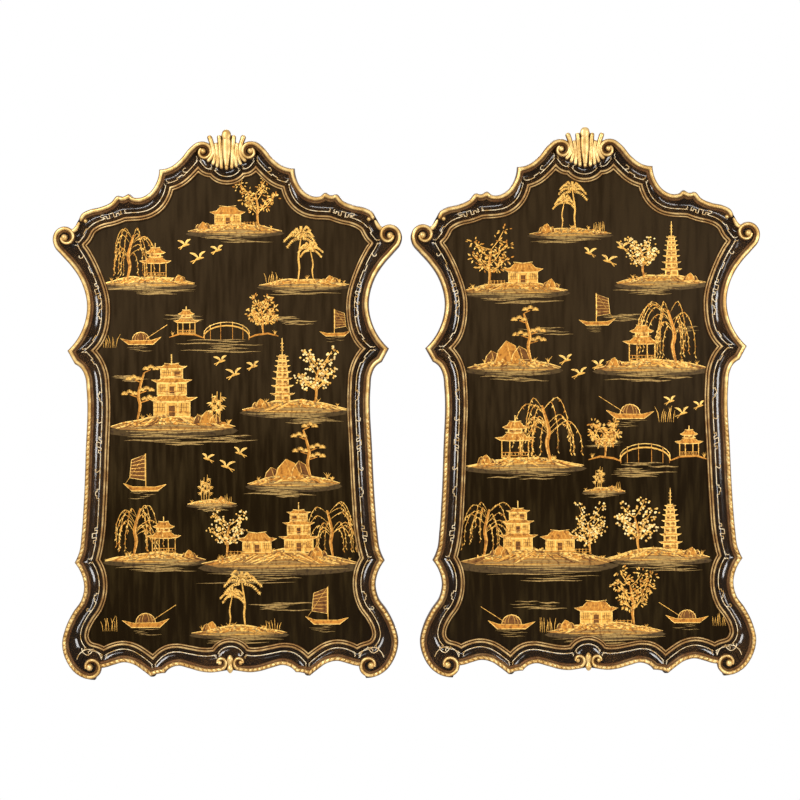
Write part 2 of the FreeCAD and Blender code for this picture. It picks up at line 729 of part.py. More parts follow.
def panel_points(rows, place_in):
    """Points of the panel's edge, a clearance inside the rebate."""
    share = (REBATE_WIDTH - PANEL_CLEARANCE) / (FILLET_WIDTH + COVE_WIDTH)
    return [mix(sight, cove, share) for outer, sight, cove in rail_rungs(rows, place_in)]


def board_points(rows, place_in):
    """Points of the back board's edge, a margin inside the outer edge."""
    rungs = rail_rungs(rows, place_in)
    return [add(outer, unit(add(sight, outer, -1.0)), BOARD_MARGIN) for outer, sight, cove in rungs]


def peg(point, depth, radius, length):
    """A round peg that runs forward from a depth."""
    return Part.makeCylinder(radius, length, at(point, depth), FreeCAD.Vector(0, -1, 0))


def joint_dowels(name, clearance):
    """The two dowels across one mitre, or with a clearance their holes."""
    row = knot(name)
    solid = math.dist(OUTER[row], SIGHT[row]) - REBATE_WIDTH
    way = unit(add(SIGHT[row], OUTER[row], -1.0))
    square = (-way[1], way[0])
    dowels = []
    for share in DOWEL_SHARES:
        middle = inward(row, solid * share)
        reach = DOWEL_LENGTH * HALF + clearance
        foot = add(middle, square, -reach)
        dowels.append(Part.makeCylinder(DOWEL_RADIUS + clearance, reach + reach, at(foot, DOWEL_DEPTH),
                                        FreeCAD.Vector(square[0], 0, square[1])))
    return dowels


def screw(point, depth):
    """A round-head screw whose head lies behind a surface at a depth."""
    shank = peg(point, depth, SCREW_RADIUS, SCREW_REACH - depth)
    dome = SCREW_HEAD_RADIUS * SCREW_HEAD_RADIUS + SCREW_HEAD_HEIGHT * SCREW_HEAD_HEIGHT
    dome = dome / (SCREW_HEAD_HEIGHT + SCREW_HEAD_HEIGHT)
    ball = Part.makeSphere(dome, at(point, depth + dome - SCREW_HEAD_HEIGHT))
    low = depth - SCREW_HEAD_HEIGHT - dome
    head = ball.common(peg(point, low, SCREW_HEAD_RADIUS, SCREW_HEAD_HEIGHT + dome))
    return join([head, shank])


SCREW_SPOTS = [inward(row, SCREW_INSET) for row, name in enumerate(NAMES) if name == "screw"]
HANGER_X = inward(knot("hanger"), STRAP_INSET)[0]
HANGER_SPOTS = [(HANGER_X, HANG_HEIGHT - drop) for drop in (STRAP_SCREW_FIRST, STRAP_SCREW_SECOND)]
PAD_SPOTS = [inward(knot(name), PAD_INSET) for name in ("upper pad", "lower pad")]
BOARD_BACK = -BOARD_THICKNESS
STRAP_BACK = BOARD_BACK - STRAP_THICKNESS
EYE_OUTER = EYE_BORE + STRAP_THICKNESS
AXIS_DEPTH = BOARD_BACK - EYE_OUTER


def drilled(shape, joints, spots, doubled=False):
    """A rail with its dowel holes and screw holes, on both sides of the centre line if doubled."""
    cutters = [hole for name in joints for hole in joint_dowels(name, FIT_CLEARANCE)]
    reach = SCREW_REACH - BOARD_BACK
    cutters += [peg(spot, BOARD_BACK, SCREW_RADIUS + FIT_CLEARANCE, reach) for spot in spots]
    if doubled:
        cutters = cutters + [mirrored(cutter) for cutter in cutters]
    return shape.cut(cutters)


def spots_between(high, low):
    """Screw places on the right half between two named joints."""
    rows = [row for row, name in enumerate(NAMES) if name == "screw" and knot(high) < row < knot(low)]
    return [inward(row, SCREW_INSET) for row in rows]


def make_strap():
    """A hanger strap: a flat tongue with two holes and an eye rolled at its top."""
    half = STRAP_WIDTH * HALF
    foot = HANG_HEIGHT - STRAP_LENGTH + half
    tongue = Part.makeBox(STRAP_WIDTH, STRAP_THICKNESS, HANG_HEIGHT - foot,
                          place(HANGER_X - half, BOARD_BACK, foot))
    toe = peg((HANGER_X, foot), STRAP_BACK, half, STRAP_THICKNESS)
    eye = Part.makeCylinder(EYE_OUTER, STRAP_WIDTH, place(HANGER_X - half, AXIS_DEPTH, HANG_HEIGHT),
                            FreeCAD.Vector(1, 0, 0))
    bore = Part.makeCylinder(EYE_BORE, STRAP_WIDTH, place(HANGER_X - half, AXIS_DEPTH, HANG_HEIGHT),
                             FreeCAD.Vector(1, 0, 0))
    holes = [peg(spot, STRAP_BACK, SCREW_RADIUS + FIT_CLEARANCE, STRAP_THICKNESS) for spot in HANGER_SPOTS]
    return join([tongue, toe, eye]).cut([bore] + holes)


def make_ring():
    """A D-ring that hangs from the strap's eye: bar, corners, sides and bow of round wire."""
    half = RING_INSIDE_WIDTH * HALF + RING_WIRE
    drop = RING_INSIDE_HEIGHT + RING_WIRE + RING_WIRE
    bow = HANG_HEIGHT - drop + half
    turn = HANG_HEIGHT - RING_CORNER
    across = FreeCAD.Vector(1, 0, 0)
    down = FreeCAD.Vector(0, 0, -1)
    spin = FreeCAD.Vector(0, 1, 0)

    def spot(x, z):
        return place(HANGER_X + x, AXIS_DEPTH, z)

    def disc(point, way):
        return Part.Face(Part.Wire(Part.makeCircle(RING_WIRE, point, way)))

    bar = Part.makeCylinder(RING_WIRE, half + half - RING_CORNER - RING_CORNER,
                            spot(RING_CORNER - half, HANG_HEIGHT), across)
    pieces = [bar]
    for side in (-1.0, 1.0):
        pieces.append(Part.makeCylinder(RING_WIRE, turn - bow, spot(side * half, turn), down))
        corner = disc(spot(side * (half - RING_CORNER), HANG_HEIGHT), across)
        pieces.append(corner.revolve(spot(side * (half - RING_CORNER), turn), spin, side * QUARTER_TURN))
    pieces.append(disc(spot(half, bow), down).revolve(spot(0, bow), spin, HALF_TURN))
    return join(pieces)


def make_pad(spot):
    """A round wall pad with a softened rim."""
    pad = peg(spot, -WALL_GAP, PAD_RADIUS, PAD_THICKNESS)
    rim = [edge for edge in pad.Edges if abs(edge.BoundBox.YMin) < NEAR and abs(edge.BoundBox.YMax) < NEAR]
    return pad.makeFillet(PAD_ROUND, rim)


def make_shell():
    """The carved shell: a backing plate with fanned ribs and a bold middle lobe."""
    base = (0, SCREEN_HEIGHT - SHELL_RISE)
    right = [(x * SHELL_HALF_WIDTH, base[1] + z * SHELL_RISE) for x, z in SHELL_PLATE_SHARES]
    edges = []
    for a, b in zip(right, right[1:]):
        edges.append(line(at(a, SEAT_DEPTH), at(b, SEAT_DEPTH)))
    edges = edges + [mirrored(edge) for edge in edges]
    plate = Part.Face(Part.Wire(Part.__sortEdges__(edges))).extrude(FreeCAD.Vector(0, -SHELL_PLATE, 0))
    ribs = [spindle(rows, base, SHELL_HALF_WIDTH, SHELL_RISE, SHELL_RIB_RISE, SEAT_DEPTH)
            for rows in SHELL_RIB_SHARES]
    ribs = ribs + [mirrored(rib) for rib in ribs]
    centre = spindle(SHELL_CENTRE_SHARES, base, SHELL_HALF_WIDTH, SHELL_RISE, SHELL_CENTRE_RISE, SEAT_DEPTH)
    return join([plate, centre] + ribs)


def make_clasp():
    """The carved bud that clasps the two curls at the foot of the frame."""
    sections = []
    for height, width in CLASP_SHARES:
        half = CLASP_WIDTH * HALF * width
        tall = CLASP_THICKNESS * (HALF + HALF * width)
        centre = (0, CLASP_FOOT + CLASP_RISE * height)
        sections.append(round_section(centre, (1.0, 0), half, tall - half * HALF, tall, SEAT_DEPTH))
    return chained([sections], False)


def make_leaf():
    """The little leaf between the crest curl and the shoulder volute."""
    first = knot("crest curl")
    sections = []
    for share, width in LEAF_SHARES:
        point, slope = along(OUTER, OUTER_LINE[1], first + int(share), share - int(share))
        way = (slope[1], -slope[0])
        centre = add(point, way, LEAF_WIDTH * HALF)
        half = LEAF_WIDTH * HALF * width
        sections.append(round_section(centre, way, half, LEAF_HEIGHT - half, LEAF_HEIGHT, SEAT_DEPTH))
    return chained([sections], False)


def make_screen():
    """All pieces of one screen on its own centre line, by name."""
    pieces = {}
    k = knot
    crest = make_rail(0, k("shoulder joint"), True)
    pieces["crest_rail"] = drilled(crest, JOINTS[:1], spots_between("crest centre", JOINTS[0]), True)
    bottom = make_rail(LAST, k("foot joint"), True)
    pieces["bottom_rail"] = drilled(bottom, JOINTS[3:], spots_between(JOINTS[3], "bottom centre"), True)
    stiles = {"upper_stile": JOINTS[0:2], "lower_stile": JOINTS[1:3], "foot_stile": JOINTS[2:4]}
    for name, (high, low) in stiles.items():
        spots = spots_between(high, low)
        if name == "upper_stile":
            spots = spots + HANGER_SPOTS
        stile = drilled(make_rail(k(high), k(low)), (high, low), spots)
        pieces[name + "_left"] = mirrored(stile)
        pieces[name + "_right"] = stile

    crest_curl = (CREST_VOLUTE_RADIUS, CREST_VOLUTE_TURN, CREST_EYE)
    shoulder_curl = (SHOULDER_VOLUTE_RADIUS, SHOULDER_VOLUTE_TURN, SHOULDER_EYE)
    foot_curl = (FOOT_VOLUTE_RADIUS, FOOT_VOLUTE_TURN, FOOT_EYE)
    clasp_curl = (CLASP_CURL_RADIUS, CLASP_CURL_TURN, CLASP_EYE)
    crest_bead = make_bead(k("crest volute"), k("crest curl") - HALF, crest_curl)
    side_bead = make_bead(k("shoulder joint"), k("foot curl"), shoulder_curl, foot_curl, [make_leaf()])
    bottom_bead = make_bead(k("foot heel") + BOTTOM_BEAD_START_SHARE, k("clasp curl"), None, clasp_curl)
    beads = {"crest_bead": crest_bead, "side_bead": side_bead, "bottom_bead": bottom_bead}
    for name, bead in beads.items():
        pieces[name + "_left"] = mirrored(bead)
        pieces[name + "_right"] = bead

    pieces["sight_top"] = make_sight(0, k("shoulder joint"), True)
    side = make_sight(k("shoulder joint"), k("foot joint"))
    pieces["sight_left"] = mirrored(side)
    pieces["sight_right"] = side
    pieces["sight_bottom"] = make_sight(LAST, k("foot joint"), True)

    pieces["shell_crest"] = make_shell()
    pieces["bottom_clasp"] = make_clasp()
    pieces["panel"] = outline_solid(panel_points, 0, PANEL_THICKNESS)
    board = outline_solid(board_points, BOARD_BACK, BOARD_THICKNESS)
    holes = [peg(spot, BOARD_BACK, SCREW_RADIUS + FIT_CLEARANCE, BOARD_THICKNESS)
             for spot in SCREW_SPOTS + HANGER_SPOTS]
    pieces["back_board"] = board.cut(holes + [mirrored(hole) for hole in holes])

    dowels = [dowel for name in JOINTS for dowel in joint_dowels(name, 0)]
    screws = [screw(spot, BOARD_BACK) for spot in SCREW_SPOTS]
    strap_screws = [screw(spot, STRAP_BACK) for spot in HANGER_SPOTS]
    pads = [make_pad(spot) for spot in PAD_SPOTS]
    groups = {"frame_dowels": dowels, "board_screws": screws, "hanger_straps": [make_strap()],
              "hanger_screws": strap_screws, "wall_pads": pads}
    for name, solids in groups.items():
        pieces[name] = Part.makeCompound(solids + [mirrored(solid) for solid in solids])
    ring = make_ring()
    pieces["hanger_ring_left"] = mirrored(ring)
    pieces["hanger_ring_right"] = ring
    return pieces


def main():
    """Build one screen, then write it twice, once for each side of the pair."""
    pieces = make_screen()
    for screen, side in (("left_screen", -1.0), ("right_screen", 1.0)):
        for name, shape in pieces.items():
            copy = shape.copy()
            copy.translate(FreeCAD.Vector(side * SCREEN_PITCH * HALF, 0, 0))
            copy.exportStep("parts/" + screen + "_" + name + ".step")


main()
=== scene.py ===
"""Dresses the pair of wall screens: gilt scrolled frames, glossy coves, lacquer panels with gold scenes."""

import bisect
import json
import math
import random

import bmesh
import bpy
from bpy.props import FloatProperty, FloatVectorProperty, PointerProperty
from mathutils import Matrix, Vector

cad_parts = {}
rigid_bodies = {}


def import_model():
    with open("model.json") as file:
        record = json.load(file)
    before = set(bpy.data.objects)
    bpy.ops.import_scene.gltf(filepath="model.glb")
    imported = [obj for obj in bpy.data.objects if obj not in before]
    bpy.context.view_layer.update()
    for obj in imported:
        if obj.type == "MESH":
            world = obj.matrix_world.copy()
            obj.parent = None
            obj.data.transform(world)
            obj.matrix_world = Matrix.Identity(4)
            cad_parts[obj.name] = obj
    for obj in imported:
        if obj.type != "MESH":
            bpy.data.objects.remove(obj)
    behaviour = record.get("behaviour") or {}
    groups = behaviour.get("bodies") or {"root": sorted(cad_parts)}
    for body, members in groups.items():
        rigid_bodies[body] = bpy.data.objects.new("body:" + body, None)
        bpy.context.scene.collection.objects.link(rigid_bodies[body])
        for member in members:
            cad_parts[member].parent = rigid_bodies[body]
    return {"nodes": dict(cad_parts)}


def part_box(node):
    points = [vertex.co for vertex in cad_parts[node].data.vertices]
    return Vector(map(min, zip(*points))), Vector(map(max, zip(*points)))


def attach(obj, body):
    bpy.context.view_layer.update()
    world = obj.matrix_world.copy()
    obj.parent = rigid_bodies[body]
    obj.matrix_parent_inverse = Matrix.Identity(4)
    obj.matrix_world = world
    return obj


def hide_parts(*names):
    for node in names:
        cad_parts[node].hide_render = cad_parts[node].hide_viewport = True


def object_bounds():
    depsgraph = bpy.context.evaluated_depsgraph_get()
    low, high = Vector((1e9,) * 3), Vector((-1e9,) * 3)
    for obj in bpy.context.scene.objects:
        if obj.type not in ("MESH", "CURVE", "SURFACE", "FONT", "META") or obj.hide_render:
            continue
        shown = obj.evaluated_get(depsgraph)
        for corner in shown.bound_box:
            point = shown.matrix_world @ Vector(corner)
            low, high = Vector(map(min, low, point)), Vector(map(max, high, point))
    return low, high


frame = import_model()
CAD_LOW, CAD_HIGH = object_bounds()

bl_info = {
    "name": "Lacquered Wall Screens",
    "version": (1, 0, 0),
    "blender": (4, 5, 0),
    "location": "3D View > Sidebar > Screens",
    "description": "Builds a pair of gilt and lacquer wall screens with painted scenes",
    "category": "Object",
}

MM = 0.001
BODY = "screens"
SCREENS = {"left_screen": -1.0, "right_screen": 1.0}
PANEL_LOW, PANEL_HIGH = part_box("left_screen_panel")
PANEL_FRONT = -PANEL_LOW.y / MM
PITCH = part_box("right_screen_panel")[0].x - PANEL_LOW.x
HANG = -CAD_LOW.z / MM

# Depths and widths of the mouldings in millimetres, counted forward from the back of the rails
WALL_GAP = 11.0
SEAT_DEPTH = 22.0
LIP_DEPTH = 17.0
LIP_WIDTH = 4.5
COVE_WIDTH = 20.0
COVE_FLOOR = 14.0
COVE_FLOOR_SHARE = 0.6
COVE_REACH = LIP_WIDTH + COVE_WIDTH
COVE_STEPS, COVE_FINE_STEPS = 12, 40
REBATE = 7.0
PANEL_DEPTH = 12.0
EASED_EDGE = 1.3

# Along a line: steps in each row for measuring, then millimetres over which its direction is softened and
# between the sections of the rails and of the bead
FINE_STEPS = 24
SMOOTH_REACH = 9.0
RAIL_STEP = 3.0
BEAD_STEP = 1.3
# A difference too small to count, in rows or millimetres
TINY = 1e-6

# Right half of the outline from the crest to the foot: name, outer edge as shares of the half width and the
# height, the way in to the sight edge as shares of the moulding width, and the edges that turn a corner there
OUTLINE_SHARES = (
    ("crest centre", 0.000, 0.9690, 0.00, -1.80, ""),
    ("", 0.052, 0.9710, -0.05, -1.77, ""),
    ("lobe end", 0.103, 0.9760, -0.14, -1.60, "i"),
    ("crest volute", 0.137, 0.9795, -0.06, -1.62, ""),
    ("lobe peak", 0.168, 0.9780, -0.03, -1.25, "i"),
    ("", 0.211, 0.9680, -0.05, -1.38, ""),
    ("", 0.268, 0.9467, -0.05, -1.20, ""),
    ("", 0.327, 0.9328, -0.27, -0.95, ""),
    ("crest cusp", 0.388, 0.9290, -0.53, -0.93, "oi"),
    ("", 0.407, 0.9033, -0.60, -0.57, ""),
    ("", 0.446, 0.8861, -0.59, -0.69, ""),
    ("", 0.497, 0.8779, -0.49, -0.85, ""),
    ("", 0.531, 0.8783, -0.22, -1.00, ""),
    ("", 0.563, 0.8848, -0.06, -1.22, ""),
    ("crest valley", 0.593, 0.8799, 0.00, -1.10, "i"),
    ("", 0.628, 0.8816, -0.01, -1.28, ""),
    ("", 0.665, 0.8697, -0.05, -1.02, ""),
    ("", 0.727, 0.8611, -0.22, -0.85, ""),
    ("", 0.789, 0.8566, -0.37, -0.89, ""),
    ("", 0.832, 0.8492, -0.49, -0.89, ""),
    ("crest curl", 0.854, 0.8369, -0.56, -0.78, ""),
    ("neck", 0.890, 0.8213, -0.74, -0.58, ""),
    ("", 0.932, 0.8262, -1.05, -0.82, ""),
    ("", 0.976, 0.8196, -1.40, -0.68, ""),
    ("shoulder joint", 1.000, 0.8041, -1.55, -0.32, "i"),
    ("", 0.991, 0.7895, -1.52, -0.05, ""),
    ("", 0.951, 0.7738, -1.26, 0.27, ""),
    ("", 0.899, 0.7553, -0.99, 0.44, ""),
    ("", 0.848, 0.7311, -0.88, 0.38, ""),
    ("", 0.807, 0.6787, -0.99, 0.00, ""),
    ("", 0.852, 0.6275, -0.91, -0.49, ""),
    ("waist cusp", 0.921, 0.6000, -1.23, 0.00, "oi"),
    ("waist knuckle", 0.879, 0.5754, -1.21, 0.30, "o"),
    ("", 0.845, 0.5676, -1.05, 0.23, ""),
    ("", 0.821, 0.5520, -1.00, 0.16, ""),
    ("", 0.813, 0.5287, -1.00, 0.00, ""),
    ("", 0.821, 0.4098, -1.00, 0.00, ""),
    ("", 0.834, 0.3197, -1.00, 0.00, ""),
    ("", 0.847, 0.2664, -1.01, 0.00, ""),
    ("", 0.862, 0.2328, -1.01, 0.12, ""),
    ("lower cusp", 0.888, 0.2139, -1.11, 0.12, "oi"),
    ("", 0.850, 0.1934, -0.99, 0.28, ""),
    ("", 0.835, 0.1705, -1.01, 0.00, ""),
    ("", 0.853, 0.1447, -0.89, -0.43, ""),
    ("", 0.897, 0.1246, -0.89, -0.43, ""),
    ("", 0.943, 0.0951, -1.06, -0.10, ""),
    ("", 0.963, 0.0672, -1.19, 0.30, ""),
    ("", 0.938, 0.0344, -1.05, 1.01, ""),
    ("foot joint", 0.889, 0.0131, -0.76, 1.454, "i"),
    ("foot curl", 0.820, 0.0016, -0.20, 1.758, ""),
    ("foot toe", 0.776, 0.0000, 0.12, 1.77, "o"),
    ("foot heel", 0.747, 0.0213, 0.17, 1.07, "o"),
    ("bottom start", 0.711, 0.0230, 0.14, 0.84, "i"),
    ("", 0.665, 0.0275, 0.10, 0.93, ""),
    ("", 0.611, 0.0316, 0.07, 0.91, ""),
    ("", 0.549, 0.0270, 0.00, 0.91, ""),
    ("", 0.500, 0.0164, -0.02, 0.94, ""),
    ("bottom cusp", 0.456, 0.0053, -0.12, 0.86, "oi"),
    ("", 0.420, 0.0098, -0.02, 0.99, ""),
    ("bottom step", 0.374, 0.0115, 0.15, 1.15, "o"),
    ("", 0.348, 0.0197, 0.10, 1.04, ""),
    ("", 0.302, 0.0246, 0.02, 0.95, ""),
    ("", 0.237, 0.0201, 0.00, 0.98, ""),
    ("", 0.168, 0.0139, 0.02, 1.05, ""),
    ("", 0.111, 0.0119, 0.12, 1.09, ""),
    ("lobe foot", 0.072, 0.0131, 0.17, 1.10, "i"),
    ("clasp curl", 0.045, 0.0145, 0.19, 1.33, ""),
    ("bottom centre", 0.000, 0.0164, 0.00, 1.48, ""),
)
NAMES = [row[0] for row in OUTLINE_SHARES]
ROWS = {name: row for row, name in enumerate(NAMES) if name}
LAST = len(NAMES) - 1
JOINTS = [ROWS[name] for name in ("shoulder joint", "waist cusp", "lower cusp", "foot joint")]
OUTER_CORNERS = ["o" in row[5] for row in OUTLINE_SHARES]
SIGHT_CORNERS = ["i" in row[5] for row in OUTLINE_SHARES]
ALL_CORNERS = [a or b for a, b in zip(OUTER_CORNERS, SIGHT_CORNERS)]

# Section of the bead as shares: across it, up its height, and how much painted light its gilding gets there:
# a lit crown and painted shade down the sides
BEAD_SHARES = (
    (0.05, 0.00, 0.0), (0.05, 0.34, 0.0), (0.075, 0.60, 0.06), (0.15, 0.83, 0.36), (0.27, 0.97, 0.84),
    (0.39, 1.00, 1.0), (0.51, 0.95, 0.88), (0.61, 0.82, 0.56), (0.685, 0.65, 0.22), (0.74, 0.53, 0.05),
    (0.82, 0.47, 0.16), (0.90, 0.40, 0.24), (0.965, 0.27, 0.12), (1.00, 0.10, 0.0), (1.00, 0.00, 0.0),
)
BEAD_LEAST_RISE = 6.0
# The bead narrows to these shares of its width at its curls, over a few rows of the outline
TAPER_SHARES = {"crest volute": 0.92, "shoulder joint": 0.96, "foot curl": 0.93, "clasp curl": 0.90}
TAPER_ROWS = 4
# Where the crest bead ends and the bottom bead starts, in rows from the crest curl and from the foot heel
CREST_END_SHARE = -0.5
BOTTOM_START_SHARE = 0.24
# Chip-carved notches: where on the screen and on the section they are cut, how deep, how slanted and how wide
CARVED_BELOW_SHARE = 0.475
NOTCH_ABOVE_SHARE, NOTCH_ACROSS_SHARE = 0.5, 0.62
NOTCH_CUT_SHARE, NOTCH_LEAST_SHARE = 0.34, 0.4
NOTCH_SLANT_SHARE, NOTCH_HALF_SHARE = 0.55, 0.17

# Curls of the bead: radius at the start, turn in degrees, radius of the ball at the heart
CREST_CURL = (17.5, 330.0, 6.2)
SHOULDER_CURL = (22.5, 360.0, 7.4)
FOOT_CURL = (22.0, 310.0, 7.6)
CLASP_CURL = (12.5, 265.0, 5.0)
CURL_POST = 6.0
VOLUTE_STEP = 6.0
VOLUTE_TURN_SHARE = 0.42
VOLUTE_END_SHARE = 0.72
EYE_PLACE_SHARE = 0.6
# Balls: the one at the plain end of a bead, and the steps of any ball
END_BALL, END_POST, END_BALL_OUT = 4.6, 4.0, 1.0
BALL_RINGS, BALL_SIDES, BALL_TIP_SHARE = 8, 24, 0.03
# A rounded end as shares of its half width: how far out, and how wide there
ROUND_END_SHARES = ((0.2, 0.98), (0.4, 0.92), (0.6, 0.80), (0.8, 0.60), (0.92, 0.40), (1.0, 0.12))

# Sight moulding: its two rounds as shares of the width, with the depths of their springing and their top
SIGHT_ROUNDS = ((0.02, 0.56, 18.3, 21.6), (0.58, 1.0, 15.2, 17.9))
SIGHT_TURNS = [math.pi * step / 8 for step in range(9)]
# Painted light round the sight moulding: a painted highlight on the crown of each round and painted shade at
# its foot
SIGHT_PAINTED_LIGHTS = [0.2] + [0.25 + 0.75 * math.sin(turn) for turn in SIGHT_TURNS] * 2 + [0.1]

# Shell: ribs with their height over the bead seat, the depth of their sunk back and whether they are flat,
# then places as shares of the shell's half width and rise, with widths as shares of its half width
SHELL_HALF, SHELL_RISE, SHELL_PLATE_THICKNESS = 42.0, 89.0, 5.0
SHELL_RIBS = (
    (13.0, 0.4, False, ((0.27, 0.06, 0.21), (0.29, 0.22, 0.25), (0.325, 0.43, 0.27), (0.35, 0.66, 0.26),
                        (0.385, 0.81, 0.23))),
    (12.0, 0.6, False, ((0.50, 0.10, 0.21), (0.47, 0.28, 0.25), (0.50, 0.46, 0.26), (0.55, 0.62, 0.24))),
    (11.0, 0.8, False, ((0.72, 0.16, 0.21), (0.63, 0.30, 0.24), (0.63, 0.43, 0.24), (0.67, 0.52, 0.21))),
    (12.5, 1.0, False, ((0.95, 0.235, 0.21), (0.79, 0.325, 0.23), (0.71, 0.45, 0.24), (0.76, 0.62, 0.25),
                        (0.885, 0.80, 0.27))),
    (16.0, 1.2, True, ((0.00, 0.11, 0.22), (0.00, 0.20, 0.28), (0.00, 0.35, 0.40), (0.00, 0.55, 0.50),
                       (0.00, 0.70, 0.46), (0.00, 0.77, 0.38))),
    (17.0, 1.4, True, ((0.00, 0.80, 0.44), (0.00, 0.85, 0.52), (0.00, 0.89, 0.46))),
    (14.0, 1.6, False, ((0.00, 0.035, 0.20), (0.00, 0.055, 0.22), (0.00, 0.075, 0.20))),
)
SHELL_PLATE_SHARES = (
    (0.00, 0.10), (0.45, 0.17), (0.72, 0.24), (0.80, 0.33), (0.66, 0.46), (0.66, 0.56), (0.52, 0.66),
    (0.42, 0.80), (0.20, 0.88), (0.00, 0.92),
)
# Swell of a rib's section, and how fast its painted light gives way to painted shade down its sides
FLAT_RIB, ROUND_RIB = (0.5, 0.6), (0.9, 1.5)
RIB_STEPS = 16
# Painted light on the crown of a rib
RIB_PAINTED_LIGHT = 0.95

# Clasp and little leaf: places along them and widths there, as shares
CLASP_SHARES = ((0.00, 0.25), (0.12, 0.80), (0.25, 1.00), (0.45, 0.66), (0.70, 1.00), (0.86, 0.85),
                (1.00, 0.28))
CLASP_FOOT, CLASP_RISE, CLASP_WIDTH, CLASP_THICKNESS = 14.0, 40.0, 14.5, 14.0
CLASP_SWELL, CLASP_STEPS = 0.7, 12
LEAF_SHARES = ((0.10, 0.35), (0.25, 0.60), (0.45, 0.80), (0.65, 0.95), (0.75, 1.0), (1.00, 0.9), (1.12, 0.7),
               (1.22, 0.4))
LEAF_HALF, LEAF_INSET, LEAF_HEIGHT, LEAF_SWELL, LEAF_STEPS = 5.0, 5.4, 10.0, 1.0, 10
LEAF_SLOPE_SHARE = 0.01
# Least painted light down the sides of the clasp and the little leaf
CARVED_LOW_PAINTED_LIGHT = 0.2


def add(a, b, size=1.0):
    """A plane point moved along a direction."""
    return (a[0] + b[0] * size, a[1] + b[1] * size)


def mix(a, b, share):
    """A plane point between two others."""
    return (a[0] + (b[0] - a[0]) * share, a[1] + (b[1] - a[1]) * share)


def unit(a):
    """A direction of length one."""
    size = math.hypot(*a)
    return (a[0] / size, a[1] / size)


def heading(a, b):
    """The direction from one plane point to another."""
    return unit(add(b, a, -1.0))


def at(point, depth):
    """A plane point at a depth before the back of the rails, as a place in the frame."""
    return (point[0] * MM, -(WALL_GAP + depth) * MM, (point[1] - HANG) * MM)


def slopes(points, corners):
    """Span lengths and the slopes into and out of every point of a line that breaks at its corners."""
    last = len(points) - 1
    runs = [math.dist(a, b) for a, b in zip(points, points[1:])]
    chords = [heading(a, b) for a, b in zip(points, points[1:])]
    into = [None] * (last + 1)
    away = [None] * (last + 1)
    for i in range(1, last):
        if not corners[i]:
            into[i] = away[i] = mix(chords[i - 1], chords[i], runs[i - 1] / (runs[i - 1] + runs[i]))
    away[0] = unit((chords[0][0], 0))
    into[last] = unit((chords[-1][0], 0))
    for i in range(1, last):
        if corners[i]:
            before = away[i - 1] or chords[i - 1]
            after = into[i + 1] or chords[i]
            into[i] = add(add(chords[i - 1], chords[i - 1]), before, -1.0)
            away[i] = add(add(chords[i], chords[i]), after, -1.0)
    return runs, into, away


def split_rows(first, last, corners):
    """Row numbers from first to last where the line breaks, the two ends among them."""
    return [first] + [row for row, corner in enumerate(corners) if corner and first < row < last] + [last]


class Line:
    """The outer or the sight line of a screen, smooth between its corners."""

    def __init__(self, points, corners):
        self.points = points
        self.runs, self.into, self.away = slopes(points, corners)

    def spot(self, key):
        """The point at a row number plus a share of the next span."""
        span = min(int(key + TINY), LAST - 1)
        u = min(1.0, max(0.0, key - span))
        v = 1.0 - u
        size = self.runs[span]
        shares = (v * v * (1 + 2 * u), u * u * (1 + 2 * v), u * v * v * size, -u * u * v * size)
        poles = (self.points[span], self.points[span + 1], self.away[span], self.into[span + 1])
        return tuple(sum(w * p[k] for w, p in zip(shares, poles)) for k in (0, 1))


class Run:
    """A smooth run of a line between two row numbers, measured along its length."""

    def __init__(self, line, first, last):
        count = int(round((last - first) * FINE_STEPS))
        self.keys = [first + (last - first) * step / count for step in range(count + 1)]
        self.spots = [line.spot(key) for key in self.keys]
        self.gone = [0.0]
        for a, b in zip(self.spots, self.spots[1:]):
            self.gone.append(self.gone[-1] + math.dist(a, b))
        self.total = self.gone[-1]

    def find(self, table, value):
        """The step that holds a value of a rising table, and the share within it."""
        step = min(len(table) - 2, max(0, bisect.bisect_right(table, value) - 1))
        return step, (value - table[step]) / (table[step + 1] - table[step])

    def read(self, given, wanted, value):
        """What one table holds at the place where another, rising one holds a value."""
        step, share = self.find(given, value)
        return wanted[step] + (wanted[step + 1] - wanted[step]) * share

    def point(self, length):
        """The point at a length, on a straight line beyond the ends."""
        step, share = self.find(self.gone, length)
        return mix(self.spots[step], self.spots[step + 1], share)

    def key(self, length):
        """The row number with share at a length."""
        return self.read(self.gone, self.keys, length)

    def length(self, key):
        """The length at a row number with share."""
        return self.read(self.keys, self.gone, key)

    def normal(self, length):
        """The softened direction square to the run, towards the panel."""
        reach = min(SMOOTH_REACH, self.total / 2)
        low = max(0, min(length - reach, self.total - reach))
        high = min(self.total, max(length + reach, reach))
        run = heading(self.point(low), self.point(high))
        return (run[1], -run[0])


